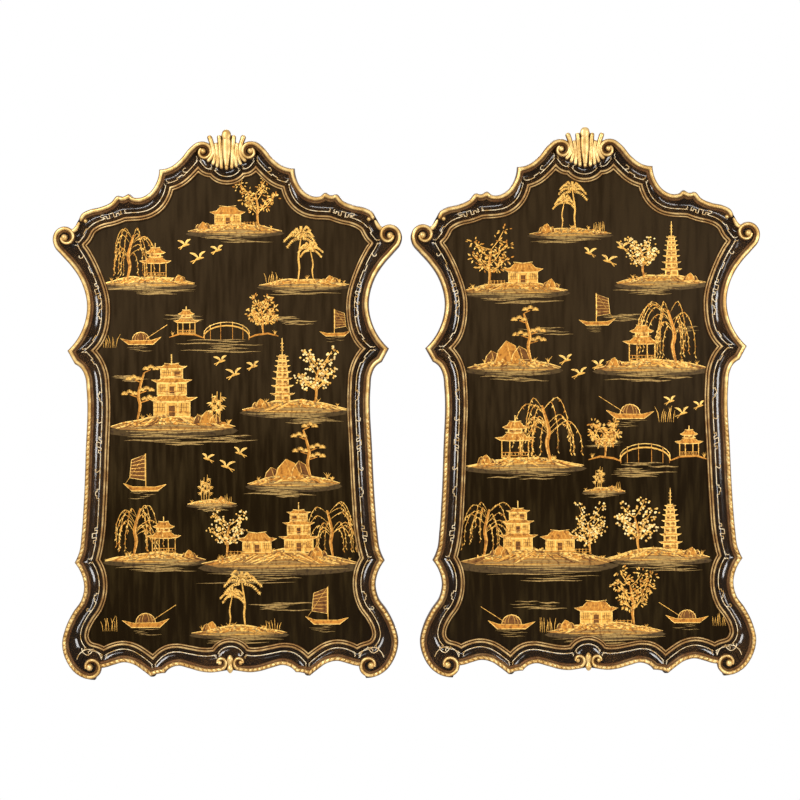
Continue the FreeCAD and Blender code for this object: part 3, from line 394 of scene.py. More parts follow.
class Offset:
    """A run with a second line a width beside it, trimmed to the mitres at its corners."""

    def __init__(self, line, rows, place, width):
        first, last = rows[place:place + 2]
        self.run = Run(line, first, last)
        self.width = width
        self.ends = []
        for row, beside, length in ((first, place - 1, 0), (last, place + 1, self.run.total)):
            here = other = self.run.normal(length)
            if 0 <= beside < len(rows) - 1:
                near = Run(line, rows[beside], rows[beside + 1])
                other = near.normal(near.total if beside < place else 0)
            if row in (0, LAST):
                here = other = (0, math.copysign(1.0, here[1]))
            middle = unit(add(here, other))
            half = math.acos(min(1.0, middle[0] * here[0] + middle[1] * here[1]))
            before, after = (other, here) if length == 0 else (here, other)
            sense = -1.0 if before[0] * after[1] - before[1] * after[0] > 0 else 1.0
            self.ends.append((middle, half, sense * width * math.tan(half)))

    def pair(self, length, share=1.0):
        """The point at a length and the point beside it at a share of the width."""
        total = self.run.total
        spot = self.run.point(length)
        for (way, half, _), goal in zip(self.ends, (0, total)):
            if abs(length - goal) < TINY:
                return spot, add(spot, way, self.width * share / math.cos(half))
        lead, tail = self.ends[0][2], self.ends[1][2]
        moved = lead + (total - lead - tail) * length / total
        beside = add(self.run.point(moved), self.run.normal(moved), self.width)
        return spot, mix(spot, beside, share)


def even(total, step):
    """Evenly spaced lengths from nothing to a total."""
    count = max(4, int(round(total / step)))
    return [total * i / count for i in range(count + 1)]


def cove_place(share):
    """Reach out from the sight edge and depth at a share of the way from the bead seat down to the lip."""
    top, low = (COVE_REACH, SEAT_DEPTH), (LIP_WIDTH, LIP_DEPTH)
    middle = (COVE_REACH - COVE_WIDTH * COVE_FLOOR_SHARE, COVE_FLOOR)
    pull = add(add(middle, middle), mix(top, low, 0.5), -1.0)
    return mix(mix(top, pull, share), mix(pull, low, share), share)


COVE_PLACES = [cove_place(i / COVE_FINE_STEPS) for i in range(COVE_FINE_STEPS + 1)]


def cove_depth(reach):
    """Depth of the cove's surface at a reach out from the sight edge."""
    for (u0, d0), (u1, d1) in zip(COVE_PLACES, COVE_PLACES[1:]):
        if u1 <= reach <= u0:
            return d0 + (d1 - d0) * (u0 - reach) / (u0 - u1)
    return LIP_DEPTH if reach < LIP_WIDTH else SEAT_DEPTH


class Outline:
    """The two lines of one screen and the mouldings that run beside them."""

    def __init__(self, sizes):
        half = sizes.screen_width / 2 / MM
        self.height = sizes.screen_height / MM
        self.bead_width, self.bead_height = sizes.bead_width / MM, sizes.bead_height / MM
        self.notch_pitch = sizes.notch_pitch / MM
        self.sight_width = sizes.sight_width / MM
        outer = [(row[1] * half, row[2] * self.height) for row in OUTLINE_SHARES]
        sight = [add(o, row[3:5], sizes.moulding / MM) for o, row in zip(outer, OUTLINE_SHARES)]
        self.outer = Line(outer, OUTER_CORNERS)
        self.sight = Line(sight, SIGHT_CORNERS)

    def rail_rungs(self, rows, place):
        """Rungs of a rail on one run: outer point, sight point and the point where the cove starts."""
        first, last = rows[place:place + 2]
        outer, inner = Run(self.outer, first, last), Run(self.sight, first, last)
        sight_rows = split_rows(0, LAST, SIGHT_CORNERS)
        home = max(i for i, row in enumerate(sight_rows[:-1]) if row <= first)
        cove = Offset(self.sight, sight_rows, home, -COVE_REACH)
        mean = [(a + b) / 2 for a, b in zip(outer.gone, inner.gone)]
        rungs = []
        for goal in even(mean[-1], RAIL_STEP):
            key = outer.read(mean, outer.keys, goal)
            rungs.append((outer.point(outer.length(key)), *cove.pair(cove.run.length(key))))
        for end, row in ((0, first), (-1, last)):
            if row in JOINTS or row in (0, LAST):
                a, b = self.outer.points[row], self.sight.points[row]
                reach = math.dist(*cove.pair(cove.run.length(row)))
                rungs[end] = (a, b, add(b, heading(b, a), reach))
        return rungs

    def sight_pairs(self, rows, place):
        """Pairs of points on the two edges of the sight moulding on one run."""
        band = Offset(self.sight, rows, place, self.sight_width)
        return [band.pair(gone) for gone in even(band.run.total, RAIL_STEP)]

    def bead_share(self, key):
        """The bead's width as a share of its full width, which narrows towards its curls."""
        return min(least + (1.0 - least) * min(1.0, abs(key - ROWS[name]) / TAPER_ROWS)
                   for name, least in TAPER_SHARES.items())

    def bead_ring(self, pair, gone, carved):
        """Section of the bead between its outer and its inner side, with its chip-carved notches."""
        share = min(1.0, math.dist(*pair) / self.bead_width)
        rise = BEAD_LEAST_RISE + (self.bead_height - BEAD_LEAST_RISE) * share
        ring = []
        for across, up, _ in BEAD_SHARES:
            high = up
            if carved and up > NOTCH_ABOVE_SHARE and across < NOTCH_ACROSS_SHARE:
                slant = across * self.bead_width * NOTCH_SLANT_SHARE
                phase = ((gone + slant) / self.notch_pitch) % 1.0
                cut = max(0.0, 1.0 - abs(phase - 0.5) / NOTCH_HALF_SHARE)
                high = up * (1.0 - carved * cut * (NOTCH_LEAST_SHARE + (1.0 - NOTCH_LEAST_SHARE) * up))
            ring.append(at(mix(*pair, across), SEAT_DEPTH + high * rise))
        return ring


def wound(pair, backward, radius, turn, eye):
    """Pairs of points of a bead that curls inward from its end, and the place of the ball at its heart."""
    full = math.dist(*pair) / 2
    way = heading(*pair)
    travel = (way[1], -way[0]) if backward else (-way[1], way[0])
    heart = add(mix(*pair, 0.5), way, radius)
    spoke = (-way[0], -way[1])
    sense = 1.0 if spoke[0] * travel[1] - spoke[1] * travel[0] > 0 else -1.0
    pairs = []
    end = heart
    for step in range(1, int(turn // VOLUTE_STEP) + 1):
        gone = VOLUTE_STEP * step
        cos, sin = math.cos(math.radians(gone)), math.sin(math.radians(gone)) * sense
        swung = (spoke[0] * cos - spoke[1] * sin, spoke[0] * sin + spoke[1] * cos)
        half = full * (1.0 - (1.0 - VOLUTE_END_SHARE) * gone / turn)
        end = add(heart, swung, radius * VOLUTE_TURN_SHARE ** (gone / 360.0))
        pairs.append((add(end, swung, half), add(end, swung, -half)))
    return pairs, (mix(end, heart, EYE_PLACE_SHARE), eye)


class Shape:
    """Points, faces and a share of painted light for each point, gathered from sweeps and balls."""

    def __init__(self, rings=None, tones=None):
        self.points, self.faces, self.tones = [], [], []
        if rings:
            self.sweep(rings, tones)

    def sweep(self, rings, tones=None):
        """A closed skin over rings of points, capped at both ends."""
        start, size = len(self.points), len(rings[0])
        for ring in rings:
            self.points += ring
            self.tones += tones or [1.0] * size
        last = start + (len(rings) - 1) * size
        for a in range(start, last, size):
            for j in range(size):
                k = (j + 1) % size
                self.faces.append((a + j, a + size + j, a + size + k, a + k))
        self.faces += [tuple(range(a, a + size)) for a in (start, last)]

    def ball(self, centre, radius, post):
        """A ball that stands on a post on the bead seat."""
        places = [(radius, SEAT_DEPTH)]
        for step in range(BALL_RINGS + 1):
            lift = math.radians(90.0 * step / BALL_RINGS)
            reach = max(BALL_TIP_SHARE, math.cos(lift)) * radius
            places.append((reach, SEAT_DEPTH + post + radius * math.sin(lift)))
        turns = [math.tau * i / BALL_SIDES for i in range(BALL_SIDES)]
        self.sweep([[at(add(centre, (math.cos(t), math.sin(t)), reach), depth) for t in turns]
                    for reach, depth in places])

    def mirrored(self):
        """The same shape on the other side of the centre line."""
        other = Shape()
        other.points = mirror(self.points)
        other.faces = [tuple(reversed(face)) for face in self.faces]
        other.tones = list(self.tones)
        return other


def mirror(points):
    """Places on the other side of the centre line."""
    return [(-x, y, z) for x, y, z in points]


def mirror_rings(rings):
    """Rings of the left half in front of those of the right half, which start at the centre line."""
    return [mirror(ring) for ring in reversed(rings[1:])] + rings


def rail_ring(rung):
    """Closed section of a rail: outer wall, bead seat, cove, lip and rebate."""
    outer, sight, cove = rung
    eased = mix(outer, cove, min(0.5, EASED_EDGE / max(1.0, math.dist(outer, cove))))
    ring = [at(outer, 0), at(outer, SEAT_DEPTH - EASED_EDGE), at(eased, SEAT_DEPTH), at(cove, SEAT_DEPTH)]
    for step in range(1, COVE_STEPS + 1):
        reach, depth = cove_place(step / COVE_STEPS)
        ring.append(at(mix(sight, cove, reach / COVE_REACH), depth))
    rebate = mix(sight, cove, REBATE / COVE_REACH)
    return ring + [at(sight, LIP_DEPTH), at(sight, PANEL_DEPTH), at(rebate, PANEL_DEPTH), at(rebate, 0)]


def sight_ring(pair):
    """Closed section of the gilt sight moulding: a round bead and a lower step."""
    ring = [at(mix(*pair, SIGHT_ROUNDS[0][0]), PANEL_DEPTH)]
    for start, stop, spring, top in SIGHT_ROUNDS:
        for turn in SIGHT_TURNS:
            ring.append(at(mix(*pair, start + (stop - start) * (1 - math.cos(turn)) / 2),
                           spring + (top - spring) * math.sin(turn)))
    return ring + [at(pair[1], PANEL_DEPTH)]


def rings_between(places, ring_of, rows, first, last):
    """Rings of a moulding from one row to another, each corner's ring once."""
    rings = []
    for i, row in enumerate(rows[:-1]):
        if first <= row < last:
            run = [ring_of(spot) for spot in places(rows, i)]
            rings += run[1:] if rings else run
    return rings


def bead_shape(outline, first, last, lead=None, tail=None, carve=None):
    """A bead from one row number to another, with its curls, its balls and its chip carving."""
    rows = split_rows(first, last, OUTER_CORNERS)
    pairs, lengths, gone = [], [], 0.0
    for i in range(len(rows) - 1):
        band = Offset(outline.outer, rows, i, outline.bead_width)
        for length in even(band.run.total, BEAD_STEP)[1 if pairs else 0:]:
            pairs.append(band.pair(length, outline.bead_share(band.run.key(length))))
            lengths.append(gone + length)
        gone += band.run.total
    carved = [carve(pair[0]) if carve else 0.0 for pair in pairs]
    shape = Shape()
    before, after = [], []
    if lead:
        before, ball = wound(pairs[0], True, *lead)
        shape.ball(*ball, CURL_POST)
    if tail:
        after, ball = wound(pairs[-1], False, *tail)
        shape.ball(*ball, CURL_POST)
    else:
        end = pairs[-1]
        half, way = math.dist(*end) / 2, heading(*end)
        out = (-way[1], way[0])
        for reach, narrow in ROUND_END_SHARES:
            spot = add(mix(*end, 0.5), out, half * reach)
            after.append((add(spot, way, -half * narrow), add(spot, way, half * narrow)))
        shape.ball(add(end[1], out, END_BALL_OUT), END_BALL, END_POST)
    rings = [outline.bead_ring(*station) for station in zip(pairs, lengths, carved)]
    plain = [[outline.bead_ring(pair, 0.0, 0.0) for pair in ends] for ends in (before[::-1], after)]
    shape.sweep(plain[0] + rings + plain[1], [tone for across, up, tone in BEAD_SHARES])
    return shape


def smooth(points, steps=4):
    """More points on a smooth line through the given ones; each point is a tuple of numbers."""
    if len(points) < 3:
        return list(points)
    out = []
    for i in range(len(points) - 1):
        a, b, c, d = (points[max(0, min(len(points) - 1, i + k))] for k in (-1, 0, 1, 2))
        for step in range(steps):
            t = step / steps
            out.append(tuple(0.5 * (2 * q + (r - p) * t + (2 * p - 5 * q + 4 * r - s) * t * t
                                    + (3 * q - p - 3 * r + s) * t ** 3) for p, q, r, s in zip(a, b, c, d)))
    return out + [tuple(points[-1])]


def round_ring(centre, way, half, top, swell, steps, base=0.0):
    """Closed section that is round in front and flat at its base, across a direction on the bead seat."""
    ring = [at(add(centre, way, -half), SEAT_DEPTH + base)]
    for step in range(steps + 1):
        turn = math.pi * step / steps
        high = top - half * swell * (1.0 - math.sin(turn))
        ring.append(at(add(centre, way, -half * math.cos(turn)), SEAT_DEPTH + high))
    return ring + [at(add(centre, way, half), SEAT_DEPTH + base)]


def round_tones(low, high, steps, fade=1.0):
    """Painted light round such a section: brightest on the crown, painted shade down the sides and at the
    base.
    """
    shares = [max(0.0, math.sin(math.pi * step / steps)) ** fade for step in range(steps + 1)]
    return [0.0] + [low + (high - low) * share for share in shares] + [0.0]


def carved_rib(shape, foot, height, base, flat, rows):
    """A tapering rib of the shell through places with widths, round at both ends, sunk into the plate."""
    swell, fade = FLAT_RIB if flat else ROUND_RIB
    spots = [((x * SHELL_HALF, foot + z * SHELL_RISE), w * SHELL_HALF) for x, z, w in smooth(rows, 5)]
    last = len(spots) - 1
    rings = []
    for i, (spot, width) in enumerate(spots):
        run = heading(spots[max(0, i - 1)][0], spots[min(last, i + 1)][0])
        ends = [(0, 1.0)]
        if i == 0:
            ends = [(-reach, narrow) for reach, narrow in reversed(ROUND_END_SHARES)] + ends
        if i == last:
            ends += ROUND_END_SHARES
        rings += [round_ring(add(spot, run, reach * width / 2), (-run[1], run[0]), width / 2 * narrow,
                             height * (0.5 + 0.5 * narrow), swell, RIB_STEPS, base) for reach, narrow in ends]
    shape.sweep(rings, round_tones(0.0, RIB_PAINTED_LIGHT, RIB_STEPS, fade))


def shell_shape(outline):
    """The carved shell: backing plate, fanned ribs, a fluted middle lobe, its knob and its foot."""
    foot = outline.height - SHELL_RISE
    right = [(x * SHELL_HALF, foot + z * SHELL_RISE) for x, z in SHELL_PLATE_SHARES]
    edge = right + [(-x, z) for x, z in reversed(right[1:-1])]
    # The backing plate gets no painted light, so it shows as painted shade between the ribs
    shape = Shape([[at(spot, SEAT_DEPTH + depth) for spot in edge] for depth in (0.0, SHELL_PLATE_THICKNESS)],
                  [0.0] * len(edge))
    for height, base, flat, rows in SHELL_RIBS:
        carved_rib(shape, foot, height, base, flat, rows)
        if rows[0][0] > 0:
            carved_rib(shape, foot, height, base, flat, [(-x, z, w) for x, z, w in rows])
    return shape


def clasp_shape():
    """The carved bud that clasps the two curls at the foot of the frame."""
    rings = [round_ring((0.0, CLASP_FOOT + CLASP_RISE * rise), (1.0, 0.0), CLASP_WIDTH / 2 * width,
                        CLASP_THICKNESS * (0.5 + 0.5 * width), CLASP_SWELL, CLASP_STEPS)
             for rise, width in smooth(CLASP_SHARES, 5)]
    return Shape(rings, round_tones(CARVED_LOW_PAINTED_LIGHT, 1.0, CLASP_STEPS))


def add_leaf(outline, shape):
    """Adds the little leaf between the crest curl and the shoulder scroll."""
    rings = []
    for share, width in smooth(LEAF_SHARES, 3):
        key = ROWS["crest curl"] + share
        slope = heading(*(outline.outer.spot(key + step) for step in (-LEAF_SLOPE_SHARE, LEAF_SLOPE_SHARE)))
        way = (slope[1], -slope[0])
        centre = add(outline.outer.spot(key), way, LEAF_INSET)
        rings.append(round_ring(centre, way, LEAF_HALF * width, LEAF_HEIGHT, LEAF_SWELL, LEAF_STEPS))
    shape.sweep(rings, round_tones(CARVED_LOW_PAINTED_LIGHT, 1.0, LEAF_STEPS))


def new_mesh(name, points, faces, sharp=None):
    """A closed mesh whose faces point outwards, smooth but for edges sharper than an angle."""
    mesh = bpy.data.meshes.new(name)
    mesh.from_pydata(points, [], faces)
    work = bmesh.new()
    work.from_mesh(mesh)
    bmesh.ops.recalc_face_normals(work, faces=work.faces)
    work.to_mesh(mesh)
    work.free()
    if sharp is None:
        mesh.shade_flat()
    else:
        mesh.shade_smooth()
        mesh.set_sharp_from_angle(angle=math.radians(sharp))
    return mesh


def store(mesh, name, kind, values):
    """Keeps a number, a vector or a colour at every point of a mesh."""
    key = {"FLOAT": "value", "FLOAT_VECTOR": "vector", "FLOAT_COLOR": "color"}[kind]
    mesh.attributes.new(name, kind, "POINT").data.foreach_set(key, values)


def link(name, mesh, material=None):
    """A new object at the origin that holds a mesh."""
    piece = bpy.data.objects.new(name, mesh)
    bpy.context.scene.collection.objects.link(piece)
    if material:
        mesh.materials.clear()
        mesh.materials.append(material)
    return piece


def shift_to(side):
    """The move from the centre line to one screen of the pair."""
    return Matrix.Translation((side * PITCH / 2, 0, 0))


def dress(name, shape, material, slot, sharp):
    """One piece for each screen from a shape on the centre line, in place of the CAD node of that name."""
    mesh = new_mesh(name, shape.points, shape.faces, sharp)
    # Each point's share of painted light goes with the mesh for the gilt finish
    store(mesh, "tone", "FLOAT", shape.tones)
    for screen, side in SCREENS.items():
        copy = mesh.copy()
        copy.transform(shift_to(side))
        piece = link(screen + "_" + name + "_finish", copy, material)
        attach(piece, BODY)
        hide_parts(screen + "_" + name)
    bpy.data.meshes.remove(mesh)


def dress_pair(name, shape, *finish):
    """The same for a shape of the right half and its mirror image."""
    dress(name + "_right", shape, *finish)
    dress(name + "_left", shape.mirrored(), *finish)


def lay(name, mesh, side, material=None):
    """One piece of gold work that lies on a screen."""
    mesh.transform(shift_to(side))
    piece = link(name, mesh, material)
    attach(piece, BODY)


class Socket:
    """A socket of a node tree that takes part in sums, or only the tree to start from."""

    def __init__(self, tree, socket=None):
        self.tree = tree
        self.socket = socket

    def node(self, kind, settings, inputs, output=0):
        """A node of any kind: its settings are set first, then its sockets get values or links."""
        made = self.tree.nodes.new(kind)
        for key, value in settings.items():
            setattr(made, key, value)
        for key, value in inputs.items():
            if isinstance(value, Socket):
                self.tree.links.new(value.socket, made.inputs[key])
            else:
                made.inputs[key].default_value = value
        return Socket(self.tree, made.outputs[output])

    def math(self, operation, first, second):
        """A number worked out from two others."""
        return self.node("ShaderNodeMath", {"operation": operation}, {0: first, 1: second})

    def __add__(self, other):
        return self.math("ADD", self, other)

    def __radd__(self, other):
        return self.math("ADD", other, self)

    def __sub__(self, other):
        return self.math("SUBTRACT", self, other)

    def __rsub__(self, other):
        return self.math("SUBTRACT", other, self)

    def __mul__(self, other):
        return self.math("MULTIPLY", self, other)

    def __rmul__(self, other):
        return self.math("MULTIPLY", other, self)

    def noise(self, scale, detail=4.0):
        """Cloudy variation at these coordinates."""
        return self.node("ShaderNodeTexNoise", {}, {"Vector": self, "Scale": scale, "Detail": detail})

    def stretched(self, scale):
        """These coordinates with their own scale along each axis."""
        return self.node("ShaderNodeVectorMath", {"operation": "MULTIPLY"}, {0: self, 1: scale})

    def part(self, axis):
        """One of the three numbers of these coordinates."""
        return self.node("ShaderNodeSeparateXYZ", {}, {0: self}, axis)

    def ranged(self, low, high, start=0.0, stop=1.0):
        """This number carried smoothly from one range to another and held at its ends."""
        return self.node("ShaderNodeMapRange", {"interpolation_type": "SMOOTHSTEP"},
                         {"Value": self, "From Min": low, "From Max": high, "To Min": start, "To Max": stop})

    def blend(self, first, second):
        """A colour between two others, each a socket or three numbers, at the share that this gives."""
        first, second = (c if isinstance(c, Socket) else (*c, 1.0) for c in (first, second))
        return self.node("ShaderNodeMix", {"data_type": "RGBA"}, {"Factor": self, 6: first, 7: second}, 2)


class Finish:
    """A material with its coordinates, and the shader that its values go to."""

    def __init__(self, name, **constants):
        self.material = bpy.data.materials.new(name)
        self.material.use_nodes = True
        self.tree = self.material.node_tree
        self.shader = self.tree.nodes["Principled BSDF"]
        self.place = Socket(self.tree).node("ShaderNodeTexCoord", {}, {}, "Object")
        for key, value in constants.items():
            self.shader.inputs[key.replace("_", " ")].default_value = value

    def attribute(self, name, output):
        """A number or colour stored at the points of the mesh."""
        return self.place.node("ShaderNodeAttribute", {"attribute_name": name}, {}, output)

    def set(self, **values):
        """Links values to sockets of the shader and hands over the material."""
        for key, value in values.items():
            self.tree.links.new(value.socket, self.shader.inputs[key.replace("_", " ")])
        return self.material

    def coat(self, colour, roughness, height, strength, distance):
        """Links a colour, a roughness and a height, which becomes the normal, and hands over the material."""
        bump = self.place.node("ShaderNodeBump", {},
                               {"Height": height, "Strength": strength, "Distance": distance})
        return self.set(Base_Color=colour, Roughness=roughness, Normal=bump)


def gilt_finish(looks, name, painted_shading):
    """Gold leaf over brown ground, rubbed at random, with painted light on the crowns and painted shade down
    the sides and in the hollows.
    """
    finish = Finish(name, Metallic=0.6)
    cloud, speck = finish.place.noise(46.0, 5.0), finish.place.noise(420.0, 2.0)
    # Painted light and shade from each point's share, broken up at random like rubbed leaf
    wear_and_painted_light = (finish.attribute("tone", "Fac") + cloud * 0.5 - painted_shading).ranged(0.02, 0.95)
    leaf = cloud.ranged(0.35, 0.7).blend(looks.gilt, looks.gilt_light)
    # Brown ground mixed with the painted shade colour
    ground = speck.ranged(0.3, 0.7).blend(looks.gilt_ground, looks.gilt_painted_shade)
    return finish.coat(wear_and_painted_light.blend(ground, leaf), 0.5 - wear_and_painted_light * 0.19 + speck * 0.08,
                       cloud * 0.7 + speck * 0.3, strength=0.22, distance=0.0009)


def cove_finish(looks):
    """Dark glossy lacquer with a brown cast and soft ripples."""
    finish = Finish("lacquered_rail", Specular_IOR_Level=0.07)
    place = finish.place
    return finish.coat(place.noise(16.0, 4.0).ranged(0.3, 0.75).blend(looks.lacquer, looks.lacquer_brown),
                       place.noise(90.0, 2.0).ranged(0.3, 0.8, 0.10, 0.16),
                       place.noise(24.0, 2.0), strength=0.07, distance=0.002)


def panel_finish(looks):
    """Aged black lacquer: faint upright streaks, a painted sheen that greys the upper part and fine crackle.
    """
    finish = Finish("lacquered_panel", Specular_IOR_Level=0.025)
    place = finish.place
    streak = place.stretched((14.0, 1.0, 1.5)).noise(6.0, 5.0)
    cloud = place.noise(3.2, 5.0)
    aged = (streak * 0.75 + cloud * 0.25).ranged(0.42, 0.68).blend(looks.panel, looks.panel_olive)
    # Painted sheen: the panel is greyer towards its top
    painted_sheen = place.part("Z").ranged(-0.80, 0.05) * (streak * 1.3 + cloud * 0.6 - 0.1)
    crackle = place.node("ShaderNodeTexVoronoi", {"feature": "DISTANCE_TO_EDGE"},
                         {"Vector": place, "Scale": 95.0})
    return finish.coat(painted_sheen.ranged(0.25, 1.0, 0.0, 0.68).blend(aged, looks.panel_painted_sheen),
                       cloud.ranged(0.3, 0.75, 0.30, 0.46),
                       crackle.ranged(0.0, 0.05) + place.noise(60.0, 3.0) * 0.5,
                       strength=0.07, distance=0.0006)


def paint_finish(looks):
    """Raised gold paint in many tones, rubbed and dusty in places."""
    finish = Finish("gold_paint", Metallic=0.4, Specular_IOR_Level=0.2)
    place = finish.place
    tint = finish.attribute("tint", "Color")
    shade = place.node("ShaderNodeMix", {"data_type": "RGBA", "blend_type": "MULTIPLY"},
                       {"Factor": 0.75, 6: tint, 7: (*looks.gilt_ground, 1.0)}, 2)
    return finish.coat(place.noise(130.0, 4.0).ranged(0.28, 0.55).blend(shade, tint),
                       place.noise(200.0).ranged(0.3, 0.8, 0.34, 0.55),
                       place.noise(500.0, 2.0), strength=0.18, distance=0.0005)


def line_finish(looks):
    """The pale gold line drawn in the cove, uneven along its length."""
    finish = Finish("gold_line", Metallic=0.3)
    place = finish.place
    return finish.coat(place.noise(75.0, 3.0).ranged(0.35, 0.62).blend(looks.gilt, looks.line),
                       place.noise(240.0).ranged(0.3, 0.7, 0.3, 0.5),
                       place.noise(600.0, 2.0), strength=0.15, distance=0.0004)


def wood_finish(name, dark, light, grain, along):
    """Sawn wood with growth lines along one axis."""
    finish = Finish(name, Specular_IOR_Level=0.25)
    lines, pores = (finish.place.stretched(along).noise(*fine) for fine in ((grain, 7.0), (grain * 9.0, 2.0)))
    return finish.coat((lines * 0.75 + pores * 0.25).ranged(0.35, 0.65).blend(dark, light),
                       pores.ranged(0.3, 0.7, 0.62, 0.85), lines * 0.5 + pores,
                       strength=0.25, distance=0.0012)


def metal_finish(name, dark, light, rough):
    """Drawn or turned metal with a little tarnish and fine scratches."""
    finish = Finish(name, Metallic=0.95)
    tarnish = finish.place.noise(150.0, 5.0)
    scratch = finish.place.stretched((1.0, 1.0, 14.0)).noise(520.0, 2.0)
    return finish.coat(tarnish.ranged(0.35, 0.68).blend(light, dark),
                       tarnish.ranged(0.3, 0.8, rough, rough + 0.28), scratch,
                       strength=0.12, distance=0.0003)


def felt_finish(looks):
    """Matted wool with tangled fibres."""
    finish = Finish("felt", Specular_IOR_Level=0.1, Sheen_Weight=0.35)
    tangle = finish.place.noise(900.0, 6.0)
    return finish.coat(tangle.ranged(0.3, 0.7).blend(looks.felt, looks.felt_light),
                       tangle.ranged(0.3, 0.7, 0.9, 1.0), tangle, strength=0.6, distance=0.0012)


def new_tree(name, *numbers):
    """A geometry tree that takes a mesh, some numbers and a material, and a socket for each by its name."""
    tree = bpy.data.node_groups.new(name, "GeometryNodeTree")
    kinds = {"Geometry": "NodeSocketGeometry", **dict.fromkeys(numbers, "NodeSocketFloat"),
             "Material": "NodeSocketMaterial"}
    for label, kind in kinds.items():
        tree.interface.new_socket(label, in_out="INPUT", socket_type=kind)
    tree.interface.new_socket("Geometry", in_out="OUTPUT", socket_type="NodeSocketGeometry")
    given = tree.nodes.new("NodeGroupInput").outputs
    return tree, {label: Socket(tree, given[label]) for label in kinds}


def close_tree(tree, given, shape):
    """Ends a geometry tree: what it made is realized and gets its material."""
    real = shape.node("GeometryNodeRealizeInstances", {}, {"Geometry": shape})
    painted = shape.node("GeometryNodeSetMaterial", {}, {"Geometry": real, "Material": given["Material"]})
    tree.links.new(painted.socket, tree.nodes.new("NodeGroupOutput").inputs[0])
    return tree


def line_tree():
    """Round lines along the edges of a mesh."""
    tree, given = new_tree("cove_line", "Radius")
    start = given["Geometry"]
    paths = start.node("GeometryNodeMeshToCurve", {}, {"Mesh": start})
    profile = start.node("GeometryNodeCurvePrimitiveCircle", {}, {"Resolution": 6, "Radius": given["Radius"]})
    tube = start.node("GeometryNodeCurveToMesh", {},
                      {"Curve": paths, "Profile Curve": profile, "Fill Caps": True})
    return close_tree(tree, given, tube)


def leaf_tree():
    """A small flattened leaf at every point, turned, sized and tinted by the point's own values."""
    tree, given = new_tree("leaf_spray")
    start = given["Geometry"]
    turn, grow = (start.node("GeometryNodeInputNamedAttribute", {"data_type": "FLOAT_VECTOR"}, {"Name": name})
                  for name in ("turn", "grow"))
    leaf = start.node("GeometryNodeMeshUVSphere", {}, {"Segments": 6, "Rings": 4, "Radius": 0.5})
    turned = start.node("FunctionNodeEulerToRotation", {}, {"Euler": turn})
    spread = start.node("GeometryNodeInstanceOnPoints", {},
                        {"Points": start, "Instance": leaf, "Rotation": turned, "Scale": grow})
    return close_tree(tree, given, spread)


def grown(mesh, tree, values):
    """The mesh that a geometry tree makes of another mesh."""
    seed = link("seed", mesh)
    modifier = seed.modifiers.new("tree", "NODES")
    modifier.node_group = tree
    for item in tree.interface.items_tree:
        if item.item_type == "SOCKET" and item.in_out == "INPUT" and item.name in values:
            modifier[item.identifier] = values[item.name]
    made = bpy.data.meshes.new_from_object(seed.evaluated_get(bpy.context.evaluated_depsgraph_get()))
    seed.modifiers.clear()
    bpy.data.objects.remove(seed)
    bpy.data.meshes.remove(mesh)
    if not made.polygons:
        raise RuntimeError("The geometry tree " + tree.name + " made nothing")
    made.shade_smooth()
    return made


# Knots of the painted line: steps along the cove and outward from the line, in millimetres
ZIGZAG = ((-17, 0), (-17, 5), (-11, 5), (-11, -1), (-5, -1), (-5, 9), (5, 9), (5, -1), (11, -1), (11, 5),
          (17, 5), (17, 0))
BRACKET = ((-10, 0), (-10, 5), (-4, 5), (-4, 8), (4, 8), (4, 5), (10, 5), (10, 0))
STEP = ((-7, 0), (-7, 3.5), (7, 3.5), (7, 0))
FORK = ((-3, 8), (-1, 4), (-4, 2), (0, 0))
HOOK = ((0, 0), (4, 3.5), (7, 7), (6, 10), (2, 10.5), (0, 8.5))
# How far out the line runs in the cove, where it stops at corners, its steps, its lift and its margin
LINE_REACH, LINE_ENDS, LINE_STEP, LINE_LIFT, LINE_MARGIN = 8.0, 2.5, 2.5, 0.25, 1.0
# Knots and hooks on the runs of the sight line, by the name of the run's start, as shares of its length
LINE_KNOTS = {
    "lobe peak": ((0.62, STEP),),
    "crest valley": ((0.22, ZIGZAG), (0.72, STEP)),
    "shoulder joint": ((0.24, STEP), (0.43, ZIGZAG), (0.63, BRACKET), (0.86, STEP)),
    "waist cusp": ((0.07, STEP), (0.25, BRACKET), (0.47, ZIGZAG), (0.69, BRACKET), (0.88, ZIGZAG)),
    "lower cusp": ((0.44, BRACKET),),
}
LINE_HOOKS = {"lobe peak": (0.4,), "crest valley": (0.34,), "shoulder joint": (0.1, 0.53),
              "waist cusp": (0.36, 0.58), "lower cusp": (0.6,)}
# Two arcs that cross over the foot scroll, as steps outward and up from its heart
FOOT_HEART = (314.0, 28.0)
FOOT_ARCS = (((27, 18), (22, 29), (12, 37), (0, 39.5), (-12, 37), (-22, 28), (-27, 17)),
             ((17, 42), (14, 33), (4, 27), (-5, 33), (-9, 41)))
EDGE_SPOTS = 800


def knotted(total, knot, share):
    """Marks of a knot or hook at a share of a run's length."""
    return [(share * total + step, out) for step, out in knot]


